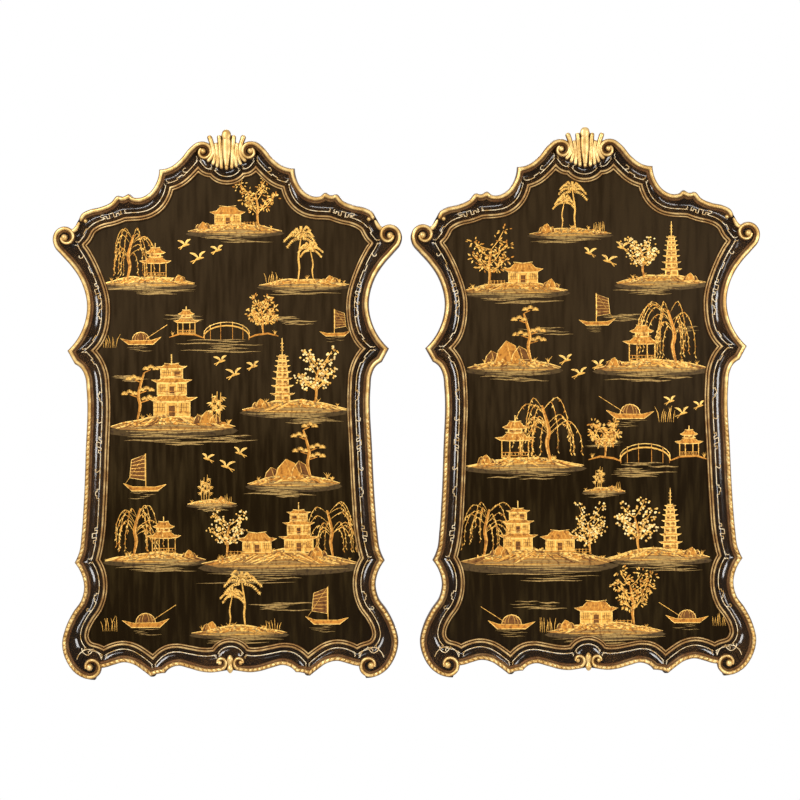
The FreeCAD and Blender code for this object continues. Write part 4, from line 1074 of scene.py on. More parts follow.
def cove_lines(outline):
    """Paths of the line painted in the cove of one half, as runs of places with their depth."""
    rows = split_rows(0, LAST, SIGHT_CORNERS)
    paths = []
    for place, row in enumerate(rows[:-1]):
        band = Offset(outline.sight, rows, place, -COVE_REACH)
        total = band.run.total

        def on_cove(length, out):
            length = min(total, max(0.0, length))
            reach = min(COVE_REACH - LINE_MARGIN, max(LIP_WIDTH + LINE_MARGIN, LINE_REACH + out))
            return at(band.pair(length, reach / COVE_REACH)[1], cove_depth(reach) + LINE_LIFT)

        marks = [(0.0, 0.0)] if row == 0 else [(LINE_ENDS - step, out) for step, out in FORK]
        for share, knot in LINE_KNOTS.get(NAMES[row], ()):
            marks += knotted(total, knot, share)
        if rows[place + 1] == LAST:
            marks.append((total, 0))
        else:
            marks += [(total - LINE_ENDS + step, out) for step, out in FORK[::-1]]
        hooks = [knotted(total, HOOK, share) for share in LINE_HOOKS.get(NAMES[row], ())]
        for loop in [marks] + hooks:
            path = []
            for (s0, u0), (s1, u1) in zip(loop, loop[1:]):
                count = max(1, int(math.hypot(s1 - s0, u1 - u0) / LINE_STEP))
                path += [on_cove(*mix((s0, u0), (s1, u1), i / count)) for i in range(count)]
            paths.append(path + [on_cove(*loop[-1])])
    edge = [outline.sight.spot(LAST * i / EDGE_SPOTS) for i in range(EDGE_SPOTS + 1)]
    for arc in FOOT_ARCS:
        spots = [add(FOOT_HEART, step) for step in smooth(arc, 4)]
        paths.append([at(spot, cove_depth(min(math.dist(spot, other) for other in edge)) + LINE_LIFT)
                      for spot in spots])
    return paths


# Tints of the gold paint
BRIGHT, GOLD, AMBER = (0.84, 0.51, 0.13), (0.70, 0.37, 0.07), (0.50, 0.20, 0.026)
BROWN, WATER, PALE = (0.15, 0.055, 0.010), (0.32, 0.198, 0.060), (0.90, 0.66, 0.28)
EARTH, DEEP_WATER = (0.30, 0.145, 0.032), (0.070, 0.040, 0.011)
# Heights of the paint over the panel in millimetres: its foot, the edge and the ridge of a stroke, what a
# stroke and a patch lay down, and the thickness of a painted leaf
PAINT_FOOT, STROKE_EDGE, STROKE_RIDGE = -0.1, 0.04, 0.22
STROKE_LIFT, PATCH_LIFT, PAINTED_LEAF = 0.0012, 0.05, 0.9
# How wide the ends of a stroke are, as shares of its middle: brushed, and drawn with even width
BRUSHED, EVEN = 0.35, 0.9
# Sizes of some motifs in millimetres
HOUSE_STEP, WITHY_CLEARANCE, CANE_SPACING, REED_SPACING, FENCE_SPACING = 3, 9.0, 5, 3.2, 6


class Picture:
    """Gold painting of one panel: raised strokes and patches with their tints, and places for leaves."""

    def __init__(self, seed):
        self.random = random.Random(seed)
        self.points, self.faces, self.tints, self.leaves = [], [], [], []
        self.origin, self.size, self.flip, self.layer = (0.0, 0.0), 1.0, 1.0, 0.0

    def start(self, origin, size, flip):
        """Begins a scene at a place of the panel, on bare lacquer."""
        self.origin, self.size, self.flip, self.layer = origin, size, flip, 0.0

    def vary(self, low, high):
        """A number between two others."""
        return self.random.uniform(low, high)

    def pick(self, *tints):
        """One of some tints."""
        return self.random.choice(tints)

    def spot(self, x, z):
        """A place on the panel from a place in the scene that is being drawn."""
        return (self.origin[0] + x * self.size * self.flip, self.origin[1] + z * self.size)

    def ring(self, spots, tint):
        """Adds points that share a tint."""
        first = len(self.points)
        for (x, z), rise in spots:
            self.points.append((x * MM, -(PANEL_FRONT + rise) * MM, (z - HANG) * MM))
            self.tints.append((*tint, 1.0))
        return first

    def stroke(self, points, width, tint, ends=BRUSHED):
        """A brush stroke that swells in its middle, raised to a ridge."""
        spots = [self.spot(x, z) for x, z in points]
        last = len(spots) - 1
        edge, ridge = self.layer + STROKE_EDGE, self.layer + STROKE_RIDGE
        firsts = []
        for i, spot in enumerate(spots):
            run = heading(spots[max(0, i - 1)], spots[min(last, i + 1)])
            share = math.sin(math.pi * i / last) if last > 1 else 0.6
            half = width * self.size / 2 * (ends + (1.0 - ends) * share)
            left, right = (add(spot, (run[1], -run[0]), reach) for reach in (-half, half))
            firsts.append(self.ring(((left, PAINT_FOOT), (left, edge), (spot, ridge), (right, edge),
                                     (right, PAINT_FOOT)), tint))
        for a, b in zip(firsts, firsts[1:]):
            self.faces += [(a + j, b + j, b + (j + 1) % 5, a + (j + 1) % 5) for j in range(5)]
        self.faces += [tuple(firsts[0] + j for j in range(5)), tuple(firsts[-1] + 4 - j for j in range(5))]
        self.layer += STROKE_LIFT

    def post(self, x, z, high, width, tint):
        """An upright line."""
        self.stroke([(x, z), (x, z + high)], width, tint, EVEN)

    def bar(self, x, z, half, width, tint, ends=EVEN):
        """A level line."""
        self.stroke([(x - half, z), (x + half, z)], width, tint, ends)

    def blade(self, x, z, lean, high, width, tint=GOLD, ends=BRUSHED, bend=(0.35, 0.6)):
        """A stem that leans over as it rises."""
        self.stroke(around(x, z, lean * high, ((0, 0), bend, (1, 1)), high), width, tint, ends)

    def patch(self, points, tint):
        """A flat area of paint with a closed edge, which lies on what was painted before it."""
        spots = [self.spot(x, z) for x, z in points]
        count = len(spots)
        self.layer += PATCH_LIFT
        low, top = (self.ring([(spot, rise) for spot in spots], tint) for rise in (PAINT_FOOT, self.layer))
        for i in range(count):
            k = (i + 1) % count
            self.faces.append((low + i, low + k, top + k, top + i))
        self.faces += [tuple(range(low, low + count)), tuple(range(top, top + count))]

    def box(self, x, z, half, high, tint):
        """An upright oblong of paint."""
        self.patch(around(x, z, half, ((-1, 0), (1, 0), (1, 1), (-1, 1)), high), tint)

    def leaf(self, x, z, turn, length, width, tint):
        """One leaf or blossom."""
        if self.flip < 0:
            turn = math.pi - turn
        self.leaves.append((self.spot(x, z), turn, length * self.size, width * self.size, tint, self.layer))


def around(x, z, wide, shares, tall=None):
    """Points about a place, as shares of a width and a height."""
    tall = wide if tall is None else tall
    return [(x + wide * across, z + tall * up) for across, up in shares]


def arch(x, z, reach, tall, count):
    """Points on a round or oval arch from its left foot to its right one."""
    turns = [math.pi * (1.0 - i / (count - 1)) for i in range(count)]
    return around(x, z, reach, [(math.cos(t), math.sin(t)) for t in turns], reach * tall)


def water(picture, half, drop, count=9):
    """Level ripples below a shore."""
    for i in range(count):
        z = -drop * (i + 0.6) / count
        length = half * picture.vary(0.5, 1.35)
        x = picture.vary(-0.45, 0.45) * half
        points = [(x + length * (k / 6 - 0.5), z + math.sin(k * 1.7 + i) * 0.7) for k in range(7)]
        picture.stroke(points, picture.vary(1.2, 2.8), WATER, 0.12)


def tuft(picture, x, z, high):
    """A few blades of grass."""
    for lean in (-0.5, -0.15, 0.2, 0.55):
        picture.blade(x, z, lean, high * picture.vary(0.7, 1.1), 0.9)


def rocks(picture, x, z, size):
    """A heap of faceted stones with bright edges."""
    for step, share in ((-0.7, 0.6), (0.55, 0.75), (0.0, 1.0)):
        stone = ((-1, 0), (-0.75, 0.55), (-0.15, 1), (0.5, 0.78), (1, 0), (0.1, 0.4), (0.35, 0))
        *edge, cleft, foot = around(x + step * size, z, size * share * 0.6, stone,
                                    size * share * picture.vary(0.8, 1.1))
        picture.patch(edge, BROWN if share < 1.0 else AMBER)
        picture.stroke(edge[:3], 1.3, BRIGHT)
        picture.stroke(edge[2:], 1.0, GOLD)
        picture.stroke([edge[2], cleft, foot], 0.8, GOLD)


def bank(picture, *points):
    """A bare bank that lies along the water."""
    picture.stroke(points, 3.4, AMBER, 0.4)


def island(picture, half, high):
    """A low shore with a banded bank, flecks, tufts and ripples."""
    def ground(x):
        return high * math.cos(math.pi * x / half / 2)

    turns = [math.tau * i / 16 for i in range(16)]
    picture.patch([(half * 1.05 * math.cos(t), high * (0.62 * math.sin(t) * picture.vary(0.85, 1.1) - 0.34))
                   for t in turns], DEEP_WATER)
    top = [(half * (2 * share - 1), high * math.sin(math.pi * share) * picture.vary(0.75, 1.1))
           for share in (i / 9 for i in range(1, 9))]
    edge = [(-half, 0)] + top + [(half, 0)]
    foot = around(0, 0, half, ((0.8, -0.28), (0.3, -0.4), (-0.35, -0.34), (-0.8, -0.2)), high)
    picture.patch(edge + foot, EARTH)
    picture.stroke(smooth(edge, 3), 2.4, BRIGHT)
    for level, width, tint in ((0.2, 1.5, GOLD), (0.38, 2.0, AMBER), (0.55, 1.3, GOLD), (0.75, 1.8, WATER),
                               (1.0, 1.4, GOLD), (1.22, 1.6, WATER)):
        shift = picture.vary(-0.1, 0.1) * half
        line = [(x * picture.vary(0.86, 0.92) + shift, z * (1.0 - level) - high * 0.22 * level)
                for x, z in top]
        picture.stroke(smooth(line, 2), width, tint)
    for _ in range(int(half / 4)):
        x = picture.vary(-0.8, 0.8) * half
        for _ in range(5):
            picture.leaf(x + picture.vary(-5, 5), ground(x) * picture.vary(0.25, 0.95),
                         picture.vary(-0.5, 0.5), picture.vary(4, 7), picture.vary(2.0, 3.2),
                         picture.pick(BRIGHT, GOLD, AMBER, WATER))
    for _ in range(int(half / 5)):
        x = picture.vary(-0.85, 0.85) * half
        picture.stroke(around(x, 0, 1.0, ((0, 0.64), (3, 0.4), (7, 0.288)), ground(x)), 0.8, GOLD)
    for _ in range(int(half / 4)):
        x = picture.vary(-0.75, 0.75) * half
        start, reach = picture.vary(0.55, 0.98), half * picture.vary(0.05, 0.11)
        flow = []
        for k in range(4):
            px = max(-half, min(half, x + math.copysign(reach * k, x)))
            flow.append((px, ground(px) * (start - 0.2 * k) - high * 0.04 * k))
        picture.stroke(smooth(flow, 2), picture.vary(1.6, 3.2), picture.pick(BRIGHT, GOLD, AMBER, BROWN),
                       0.15)
    for _ in range(int(half / 11)):
        x = picture.vary(-0.9, 0.9) * half
        tuft(picture, x, ground(x) * 0.75, picture.vary(5, 9))
    water(picture, half, high * 1.5)


def roof(picture, x, z, half, high, tiles):
    """A curved roof with upturned eaves, ribs and a bright ridge."""
    lift = half * 0.16
    eave = around(x, z, half, ((-1, 1), (-0.75, 0.2), (-0.35, 0), (0.35, 0), (0.75, 0.2), (1, 1)), lift)
    slope = around(x, z, half, ((0.62, 0.5), (0.42, 1), (-0.42, 1), (-0.62, 0.5)), high)
    picture.patch(eave + slope, AMBER)
    for i in range(tiles + 1):
        share = i / tiles * 2 - 1
        foot = lift * 0.3 * abs(share) / high
        picture.stroke(around(x, z, share * half, ((0.42, 1), (0.6, 0.5), (0.8, foot)), high), 0.8, GOLD)
    picture.stroke(eave, 1.5, BRIGHT, 0.5)
    picture.stroke(around(x, z + high, half, ((-0.48, 0.064), (0, 0), (0.48, 0.064))), 1.6, BRIGHT, 0.6)
    for hip in ((slope[2], slope[3], eave[0]), (slope[1], slope[0], eave[5])):
        picture.stroke(hip, 1.1, BRIGHT)


def walls(picture, x, z, half, high, bays):
    """A storey with posts, a sill, a rail and latticed bays."""
    bay = half / bays
    picture.box(x, z, half, high, GOLD)
    for i in range(bays + 1):
        picture.post(x - half + 2 * bay * i, z, high, 1.7, BRIGHT)
    for level, tint in ((0.0, BRIGHT), (0.32, AMBER), (0.94, BRIGHT)):
        picture.bar(x, z + high * level, half, 1.2, tint)
    for i in range(bays):
        px = x - half + 2 * bay * (i + 0.5)
        if i == bays // 2:
            picture.box(px, z, bay * 0.5, high * 0.72, BROWN)
        else:
            for step in (-0.4, 0.0, 0.4):
                picture.post(px + step * bay, z + high * 0.36, high * 0.54, 0.7, BROWN)
            picture.bar(px, z + high * 0.62, bay * 0.8, 0.7, BROWN)


def storey(picture, x, z, half, walled, roofed, tiles, bays=3):
    """Walls under a roof, each with its width and height as shares of the half width."""
    walls(picture, x, z, half * walled[0], half * walled[1], bays)
    roof(picture, x, z + half * walled[1], half * roofed[0], half * roofed[1], tiles)


def house(picture, x, z, half):
    """A house of one storey on a stone step."""
    picture.patch(around(x, z, half, ((-1.1, -1), (1.1, -1), (1.05, 0), (-1.05, 0)), HOUSE_STEP), AMBER)
    picture.bar(x, z - HOUSE_STEP, half * 1.1, 1.0, GOLD, 0.8)
    storey(picture, x, z, half, (1.0, 0.75), (1.4, 0.62), 7)


def pavilion(picture, x, z, half):
    """An open pavilion with a low rail, two roofs and a finial."""
    for share in (-1.0, -0.4, 0.4, 1.0):
        picture.post(x + share * half, z, half * 1.3, 1.6, GOLD)
    for level, tint in ((0.0, GOLD), (0.18, AMBER), (0.42, AMBER)):
        picture.bar(x, z + half * level, half, 1.1, tint)
    for i in range(9):
        picture.post(x + half * (i / 4 - 1), z + half * 0.18, half * 0.24, 0.7, GOLD)
    roof(picture, x, z + half * 1.3, half * 1.5, half * 0.55, 6)
    storey(picture, x, z + half * 1.88, half, (0.5, 0.3), (0.95, 0.55), 4, 2)
    picture.stroke([(x, z + half * 2.7), (x, z + half * 3.2)], 2.2, BRIGHT)


def tower(picture, x, z, half, storeys):
    """A square tower whose storeys step in, each with its own roof."""
    level = z
    for i in range(storeys):
        wide = half * (1.0 - 0.2 * i)
        storey(picture, x, level, wide, (1.0, 0.85), (1.42, 0.42), 6 - i, 3 - (i > 1))
        level += wide * 1.2
    picture.stroke([(x, level), (x, level + half * 0.6)], 2.2, BRIGHT)


def pagoda(picture, x, z, half, tiers):
    """A slim pagoda of many small roofs under a mast with rings."""
    level = z
    for i in range(tiers):
        wide = half * (1.0 - 0.085 * i)
        storey(picture, x, level, wide, (0.8, 0.7), (1.4, 0.38), 4, 2)
        level += wide
    picture.stroke([(x, level), (x, level + half * 2.0)], 1.8, BRIGHT, 0.5)
    for share in (0.6, 1.0, 1.4):
        picture.bar(x, level + half * share, 2.4, 1.2, GOLD, 0.8)


def trunk(picture, x, z, high, lean, width, tint=AMBER):
    """A bent trunk, returned as its points."""
    line = smooth(around(x, z, lean * high, ((0, 0), (0.12, 0.3), (0.05, 0.55), (0.3, 1)), high))
    picture.stroke(line, width, tint, 0.5)
    picture.stroke([(px + width * 0.2, pz) for px, pz in line], width * 0.3, BRIGHT, 0.3)
    return line


def fork(line, share):
    """The point at a share of a trunk's points."""
    return line[int((len(line) - 1) * share)]


def leafy(picture, x, z, high, lean, blossom=False):
    """A tree with forked boughs and sprays of leaves or blossoms."""
    line = trunk(picture, x, z, high * 0.62, lean, high * 0.05)
    least, most, plump = (3.2, 4.6, 0.85) if blossom else (4.5, 7.0, 0.42)
    tints = (BRIGHT, PALE, GOLD) if blossom else (BRIGHT, GOLD, GOLD, AMBER)
    tips = []
    for reach in (0.42, 0.55, 0.7, 0.85, 1.0):
        root = fork(line, reach)
        for side in (-1, 1):
            tip = add(root, (side * picture.vary(0.14, 0.32), picture.vary(0.12, 0.34)), high)
            middle = add(mix(root, tip, 0.5), (0, -0.03), high)
            picture.stroke(smooth([root, middle, tip], 3), 1.5, GOLD, 0.3)
            tips += [tip, middle]
    for tip in tips:
        for _ in range(11):
            turn = picture.vary(0, math.tau)
            far = high * 0.13 * math.sqrt(picture.vary(0, 1))
            size = picture.vary(least, most)
            place = add(tip, (math.cos(turn), math.sin(turn) * 0.75), far)
            tint = picture.pick(*tints)
            picture.leaf(*place, turn, size, size * plump, tint)


def willow(picture, x, z, high, lean):
    """A willow with long hanging withies."""
    line = trunk(picture, x, z, high * 0.72, lean, high * 0.055)
    for _ in range(17):
        root = fork(line, picture.vary(0.55, 1.0))
        side = picture.pick(-1, 1)
        reach, drop = side * high * picture.vary(0.10, 0.42), high * picture.vary(0.35, 0.72)
        crown = (root[0] + reach * 0.6, root[1] + high * picture.vary(0.08, 0.2))
        drop = min(drop, crown[1] - z - WITHY_CLEARANCE)
        hang = around(root[0], crown[1], reach, ((1.0, -0.45), (1.06, -1.0)), drop)
        path = smooth([root, crown] + hang)
        picture.stroke(path, 1.0, GOLD, 0.3)
        for k, (px, pz) in enumerate(path[3:]):
            turn = -math.pi / 2 + side * (0.5 if k % 2 else -0.5)
            picture.leaf(px + math.cos(turn) * 1.6, pz - 1.2, turn, picture.vary(4.2, 6.4), 1.7,
                         picture.pick(BRIGHT, GOLD, AMBER))


def palm(picture, x, z, high, lean):
    """A palm with a slim stem and arching fronds."""
    top = trunk(picture, x, z, high * 0.78, lean, high * 0.035, GOLD)[-1]
    for turn in (-0.35, 0.15, 0.6, 1.05, 1.57, 2.1, 2.55, 3.0, 3.5):
        reach, cos, sin = high * picture.vary(0.24, 0.34), math.cos(turn), math.sin(turn)
        crown = (top[0] + reach * 0.55 * cos, top[1] + reach * 0.62 * sin + high * 0.03)
        tip = (top[0] + reach * cos, top[1] + reach * sin * 0.8 - high * 0.08)
        path = smooth([top, crown, tip], 5)
        picture.stroke(path, 1.2, GOLD, 0.4)
        for px, pz in path[2:]:
            for side in (-1, 1):
                picture.leaf(px, pz - 1.5, turn - math.pi / 2 + side * 0.6, high * 0.075, 1.5,
                             picture.pick(BRIGHT, GOLD))


def pine(picture, x, z, high, lean):
    """A pine with level pads of needles."""
    line = trunk(picture, x, z, high * 0.8, lean, high * 0.055)
    for i, reach in enumerate((0.45, 0.6, 0.72, 0.86, 1.0)):
        root = fork(line, reach)
        side = -1 if i % 2 else 1
        centre = add(root, (side * 0.16 * (1.3 - reach * 0.6), 0.05), high)
        picture.stroke([root, mix(root, centre, 0.5), centre], 1.6, AMBER, 0.5)
        for pad in ((-0.085, 0), (0, 0.03), (0.085, 0)):
            heart = add(centre, pad, high)
            for n in range(9):
                turn = math.pi * n / 8
                place = add(heart, (math.cos(turn), math.sin(turn)), high * 0.03)
                picture.leaf(*place, turn, high * 0.07, 1.2, BRIGHT if n % 3 == 1 else GOLD)


def bamboo(picture, x, z, high, count):
    """Canes with slim leaves in threes."""
    for i in range(count):
        lean, foot = picture.vary(-0.12, 0.2), x + (i - count / 2) * CANE_SPACING
        top = high * picture.vary(0.75, 1.0)
        picture.blade(foot, z, lean, top, 1.6, ends=0.6, bend=(0.4, 0.5))
        for k in range(3, 7):
            side = -1 if (k + i) % 2 else 1
            for turn in (-0.25, -0.75, -1.25):
                px = foot + lean * top * k / 7 + side * 4.5 * math.cos(turn)
                picture.leaf(px, z + top * k / 7 + 4.5 * math.sin(turn), turn if side > 0 else math.pi - turn,
                             9.0, 2.0, picture.pick(BRIGHT, GOLD))


def reeds(picture, x, z, high, count=7):
    """Reeds that stand in the shallows."""
    for i in range(count):
        lean = picture.vary(-0.3, 0.35)
        foot = x + (i - count / 2) * REED_SPACING
        picture.blade(foot, z, lean, high * picture.vary(0.6, 1.0), 1.1, ends=0.4)


def boat(picture, half, rig):
    """A small boat under a sail or an awning, and the ripples round it."""
    hull = around(0, 0, half, ((-1, 0.3), (-0.6, 0), (0.6, 0), (1, 0.36), (0.55, 0.2), (-0.5, 0.18)))
    picture.patch(hull, AMBER)
    picture.stroke(hull[:4], 1.4, BRIGHT, 0.5)
    picture.stroke([hull[0], hull[5], hull[4], hull[3]], 1.2, GOLD, 0.6)
    rig(picture, half)
    for i in range(4):
        length = half * picture.vary(0.5, 1.1)
        x = picture.vary(-0.4, 0.4) * half
        picture.stroke([(x + length * (k / 4 - 0.5), -3 - i * 3 + math.sin(k * 2.0) * 0.6) for k in range(5)],
                       0.9, WATER, 0.2)


def sail(picture, half):
    """A mast with a woven sail and a stay."""
    foot, mast, stay = around(0, 0, half, ((-0.05, 0.2), (-0.05, 1.75), (0.9, 0.34)))
    picture.stroke([foot, mast], 1.6, GOLD, 0.8)
    luff = mast[0] + 1
    cloth = [(luff, half * 0.5), *around(mast[0], 0, half, ((0.75, 0.62), (0.66, 1.45))), (luff, half * 1.7)]
    picture.patch(cloth, BROWN)
    picture.stroke(cloth + cloth[:1], 1.1, BRIGHT, EVEN)
    for i in range(1, 6):
        picture.stroke([mix(cloth[0], cloth[3], i / 6), mix(cloth[1], cloth[2], i / 6)], 0.8, GOLD, EVEN)
    picture.stroke([mast, stay], 0.6, GOLD, EVEN)


def awning(picture, half):
    """A low round awning and a pole."""
    hood = arch(0, half * 0.2, half * 0.42, 0.95, 9)
    picture.patch(hood, BROWN)
    picture.stroke(hood, 1.5, BRIGHT, 0.7)
    for share in (0.35, 0.68):
        picture.stroke([(px * share, pz) for px, pz in hood], 0.7, GOLD, EVEN)
    picture.stroke(around(0, 0, half, ((0.3, 0.3), (1.3, 0.95))), 1.0, GOLD, 0.8)


def bird(picture, x, z, half):
    """A bird on the wing, with a forked tail."""
    lift = picture.vary(0.2, 0.5)
    for wing in (((0.0, 0.0), (-0.45, 0.30 + lift * 0.4), (-1.05, 0.25 + lift)),
                 ((0.1, 0.02), (0.28, 0.42 + lift * 0.3), (0.78, 0.62 + lift * 0.5))):
        picture.stroke(smooth(around(x, z, half, wing)), 5.2, BRIGHT, 0.12)
    for tail in ((-0.95, -0.42), (-0.7, -0.62)):
        picture.stroke(around(x, z, half, ((-0.3, -0.16), tail)), 2.6, GOLD)
    picture.stroke(smooth(around(x, z, half, ((-0.4, -0.2), (0, 0), (0.62, 0.1)))), 5.6, GOLD, 0.2)


def bridge(picture, x, z, half, rise):
    """An arched bridge with posts and a rail."""
    deck = arch(x, z, half, rise / half, 13)
    picture.stroke(deck, 2.4, GOLD, 0.8)
    picture.stroke([(px, pz + 6) for px, pz in deck], 1.2, BRIGHT, 0.8)
    for px, pz in deck[1:-1:2]:
        picture.post(px, pz - 1, 8.5, 1.2, GOLD)
        picture.post(px, z - 4, pz - z + 2, 1.0, AMBER)


def fence(picture, first, last, z, high):
    """A lattice fence."""
    count = int((last - first) / FENCE_SPACING)
    for i in range(count + 1):
        picture.post(first + (last - first) * i / count, z, high, 1.0, GOLD)
    for level in (0.35, 0.85):
        picture.bar((first + last) / 2, z + high * level, (last - first) / 2, 0.9, AMBER)


# Scenes: the motifs of each with their places and sizes in millimetres, and how their trees lean
GARDEN_HOUSE = ((island, 92, 15), (house, -14, 13, 25), (leafy, 46, 10, 100, -0.3), (rocks, -62, 5, 14),
                (fence, 18, 42, 10, 8))
LAKE_PAVILION = ((island, 84, 13), (pavilion, 14, 11, 19), (willow, -36, 8, 108, 0.5), (rocks, 56, 4, 12))
WATCH_TOWER = ((island, 88, 17), (tower, 0, 14, 25, 3), (pine, -48, 10, 82, 0.5), (rocks, 50, 5, 19),
               (bamboo, 64, 6, 48, 3))
SLIM_PAGODA = ((island, 78, 14), (pagoda, -18, 12, 13, 7), (leafy, 30, 9, 84, 0.4, True), (rocks, -50, 4, 12))
PALM_SHORE = ((island, 76, 11), (palm, -10, 8, 92, 0.25), (palm, 16, 8, 66, -0.35), (rocks, 44, 3, 15),
              (reeds, -52, 2, 22))
BRIDGE_ISLE = ((bank, (-92, 4), (-74, 9), (-52, 6), (-40, 1)), (bank, (36, 1), (54, 8), (80, 9), (98, 3)),
               (bridge, -2, 2, 40, 21), (pavilion, 68, 9, 15), (leafy, -66, 7, 72, 0.3), (tuft, 92, 5, 9),
               (tuft, -86, 6, 9), (water, 84, 24, 8))
ROCK_ISLE = ((island, 66, 13), (rocks, -8, 6, 32), (pine, 24, 9, 84, -0.5), (tuft, 48, 5, 10))
GREAT_SHORE = ((island, 138, 24), (tower, -34, 20, 25, 3), (house, 40, 19, 25), (willow, -94, 12, 112, 0.4),
               (leafy, 94, 12, 88, -0.3, True), (rocks, -66, 12, 17), (fence, 68, 92, 13, 9))
REED_BANK = ((island, 52, 10), (bamboo, -12, 6, 58, 4), (rocks, 20, 4, 12), (reeds, 36, 2, 22, 5))
FISHING_BOAT = ((boat, 38, awning), (reeds, -56, -6, 26, 8))
SAILING_BOAT = ((boat, 34, sail),)
BIRDS = ((bird, 0, 0, 19), (bird, 42, 18, 15), (bird, -30, 30, 16))
SHALLOWS = ((water, 62, 16, 6),)

# Layout of each panel: place across and up as shares of half its width and of its height, size, side,
# and the scene
LEFT_SCENES = (
    (0.05, 0.860, 1.14, 1, GARDEN_HOUSE), (-0.55, 0.757, 1.25, 1, LAKE_PAVILION),
    (0.52, 0.752, 1.32, 1, PALM_SHORE), (-0.02, 0.646, 1.28, -1, BRIDGE_ISLE),
    (0.73, 0.650, 1.02, 1, SAILING_BOAT), (-0.60, 0.636, 1.20, 1, FISHING_BOAT),
    (-0.39, 0.472, 1.60, 1, WATCH_TOWER), (0.45, 0.505, 1.50, 1, SLIM_PAGODA),
    (0.44, 0.358, 1.56, 1, ROCK_ISLE), (-0.58, 0.345, 1.40, -1, SAILING_BOAT),
    (-0.51, 0.208, 1.34, 1, LAKE_PAVILION), (0.34, 0.200, 1.26, -1, GREAT_SHORE),
    (-0.02, 0.392, 1.0, -1, BIRDS), (-0.58, 0.074, 1.38, 1, FISHING_BOAT),
    (0.06, 0.062, 1.40, -1, PALM_SHORE), (0.66, 0.078, 1.40, -1, SAILING_BOAT),
    (-0.20, 0.806, 1.0, 1, BIRDS), (0.04, 0.575, 1.0, 1, BIRDS), (-0.12, 0.318, 1.05, 1, REED_BANK),
    (0.42, 0.690, 1.2, 1, SHALLOWS), (0.02, 0.455, 1.0, 1, SHALLOWS), (0.36, 0.122, 1.2, 1, SHALLOWS),
    (-0.66, 0.575, 0.9, 1, SHALLOWS), (-0.30, 0.695, 1.0, 1, SHALLOWS),
)
RIGHT_SCENES = (
    (-0.10, 0.850, 1.20, -1, PALM_SHORE), (0.52, 0.752, 1.28, -1, SLIM_PAGODA),
    (-0.48, 0.738, 1.28, -1, GARDEN_HOUSE), (0.08, 0.668, 1.20, 1, SAILING_BOAT),
    (-0.49, 0.585, 1.58, 1, ROCK_ISLE), (0.45, 0.582, 1.50, -1, LAKE_PAVILION),
    (0.30, 0.482, 1.40, -1, FISHING_BOAT), (-0.42, 0.390, 1.56, -1, LAKE_PAVILION),
    (0.41, 0.396, 1.40, 1, BRIDGE_ISLE), (0.12, 0.338, 0.90, 1, REED_BANK),
    (0.49, 0.206, 1.46, -1, SLIM_PAGODA), (-0.34, 0.200, 1.26, 1, GREAT_SHORE),
    (-0.52, 0.066, 1.38, -1, FISHING_BOAT), (0.12, 0.060, 1.40, 1, GARDEN_HOUSE),
    (0.68, 0.076, 1.25, -1, FISHING_BOAT), (0.16, 0.795, 1.0, -1, BIRDS), (-0.04, 0.572, 1.0, 1, BIRDS),
    (0.66, 0.492, 0.9, 1, BIRDS), (-0.28, 0.665, 1.1, 1, SHALLOWS), (0.16, 0.440, 1.0, 1, SHALLOWS),
    (-0.34, 0.122, 1.2, 1, SHALLOWS), (0.70, 0.665, 0.8, 1, SHALLOWS), (0.28, 0.690, 1.0, 1, SHALLOWS),
)


def painted(scenes, seed):
    """The painting of one panel."""
    low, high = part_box("left_screen_sight_left")[0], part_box("left_screen_sight_right")[1]
    half, foot = (high.x - low.x) / 2 / MM, PANEL_LOW.z / MM + HANG
    tall = (PANEL_HIGH.z - PANEL_LOW.z) / MM
    picture = Picture(seed)
    for across, up, size, flip, scene in scenes:
        picture.start((across * half, foot + up * tall), size, flip)
        for motif, *values in scene:
            motif(picture, *values)
    return picture


def colour(name, text, default):
    """A colour that the user can change."""
    return FloatVectorProperty(name=name, description=text, default=default, subtype="COLOR", size=3, min=0.0,
                               max=1.0)


def length(name, text, default):
    """A length that the user can change."""
    return FloatProperty(name=name, description=text, default=default, min=0.0, unit="LENGTH")


class ScreenSizes(bpy.types.PropertyGroup):
    """Sizes of one screen."""

    screen_width: length("Width", "Width over the shoulders", 0.776)
    screen_height: length("Height", "Height from the feet to the top of the shell", 1.22)
    moulding: length("Moulding", "Width of the frame moulding", 0.0405)
    bead_width: length("Bead width", "Width of the gilt outer bead", 0.016)
    bead_height: length("Bead height", "Height of the bead over its seat", 0.013)
    sight_width: length("Sight width", "Width of the gilt sight moulding", 0.011)
    notch_pitch: length("Notch pitch", "Distance between the chip-carved notches", 0.011)
    line_width: length("Line width", "Width of the line painted in the cove", 0.0021)


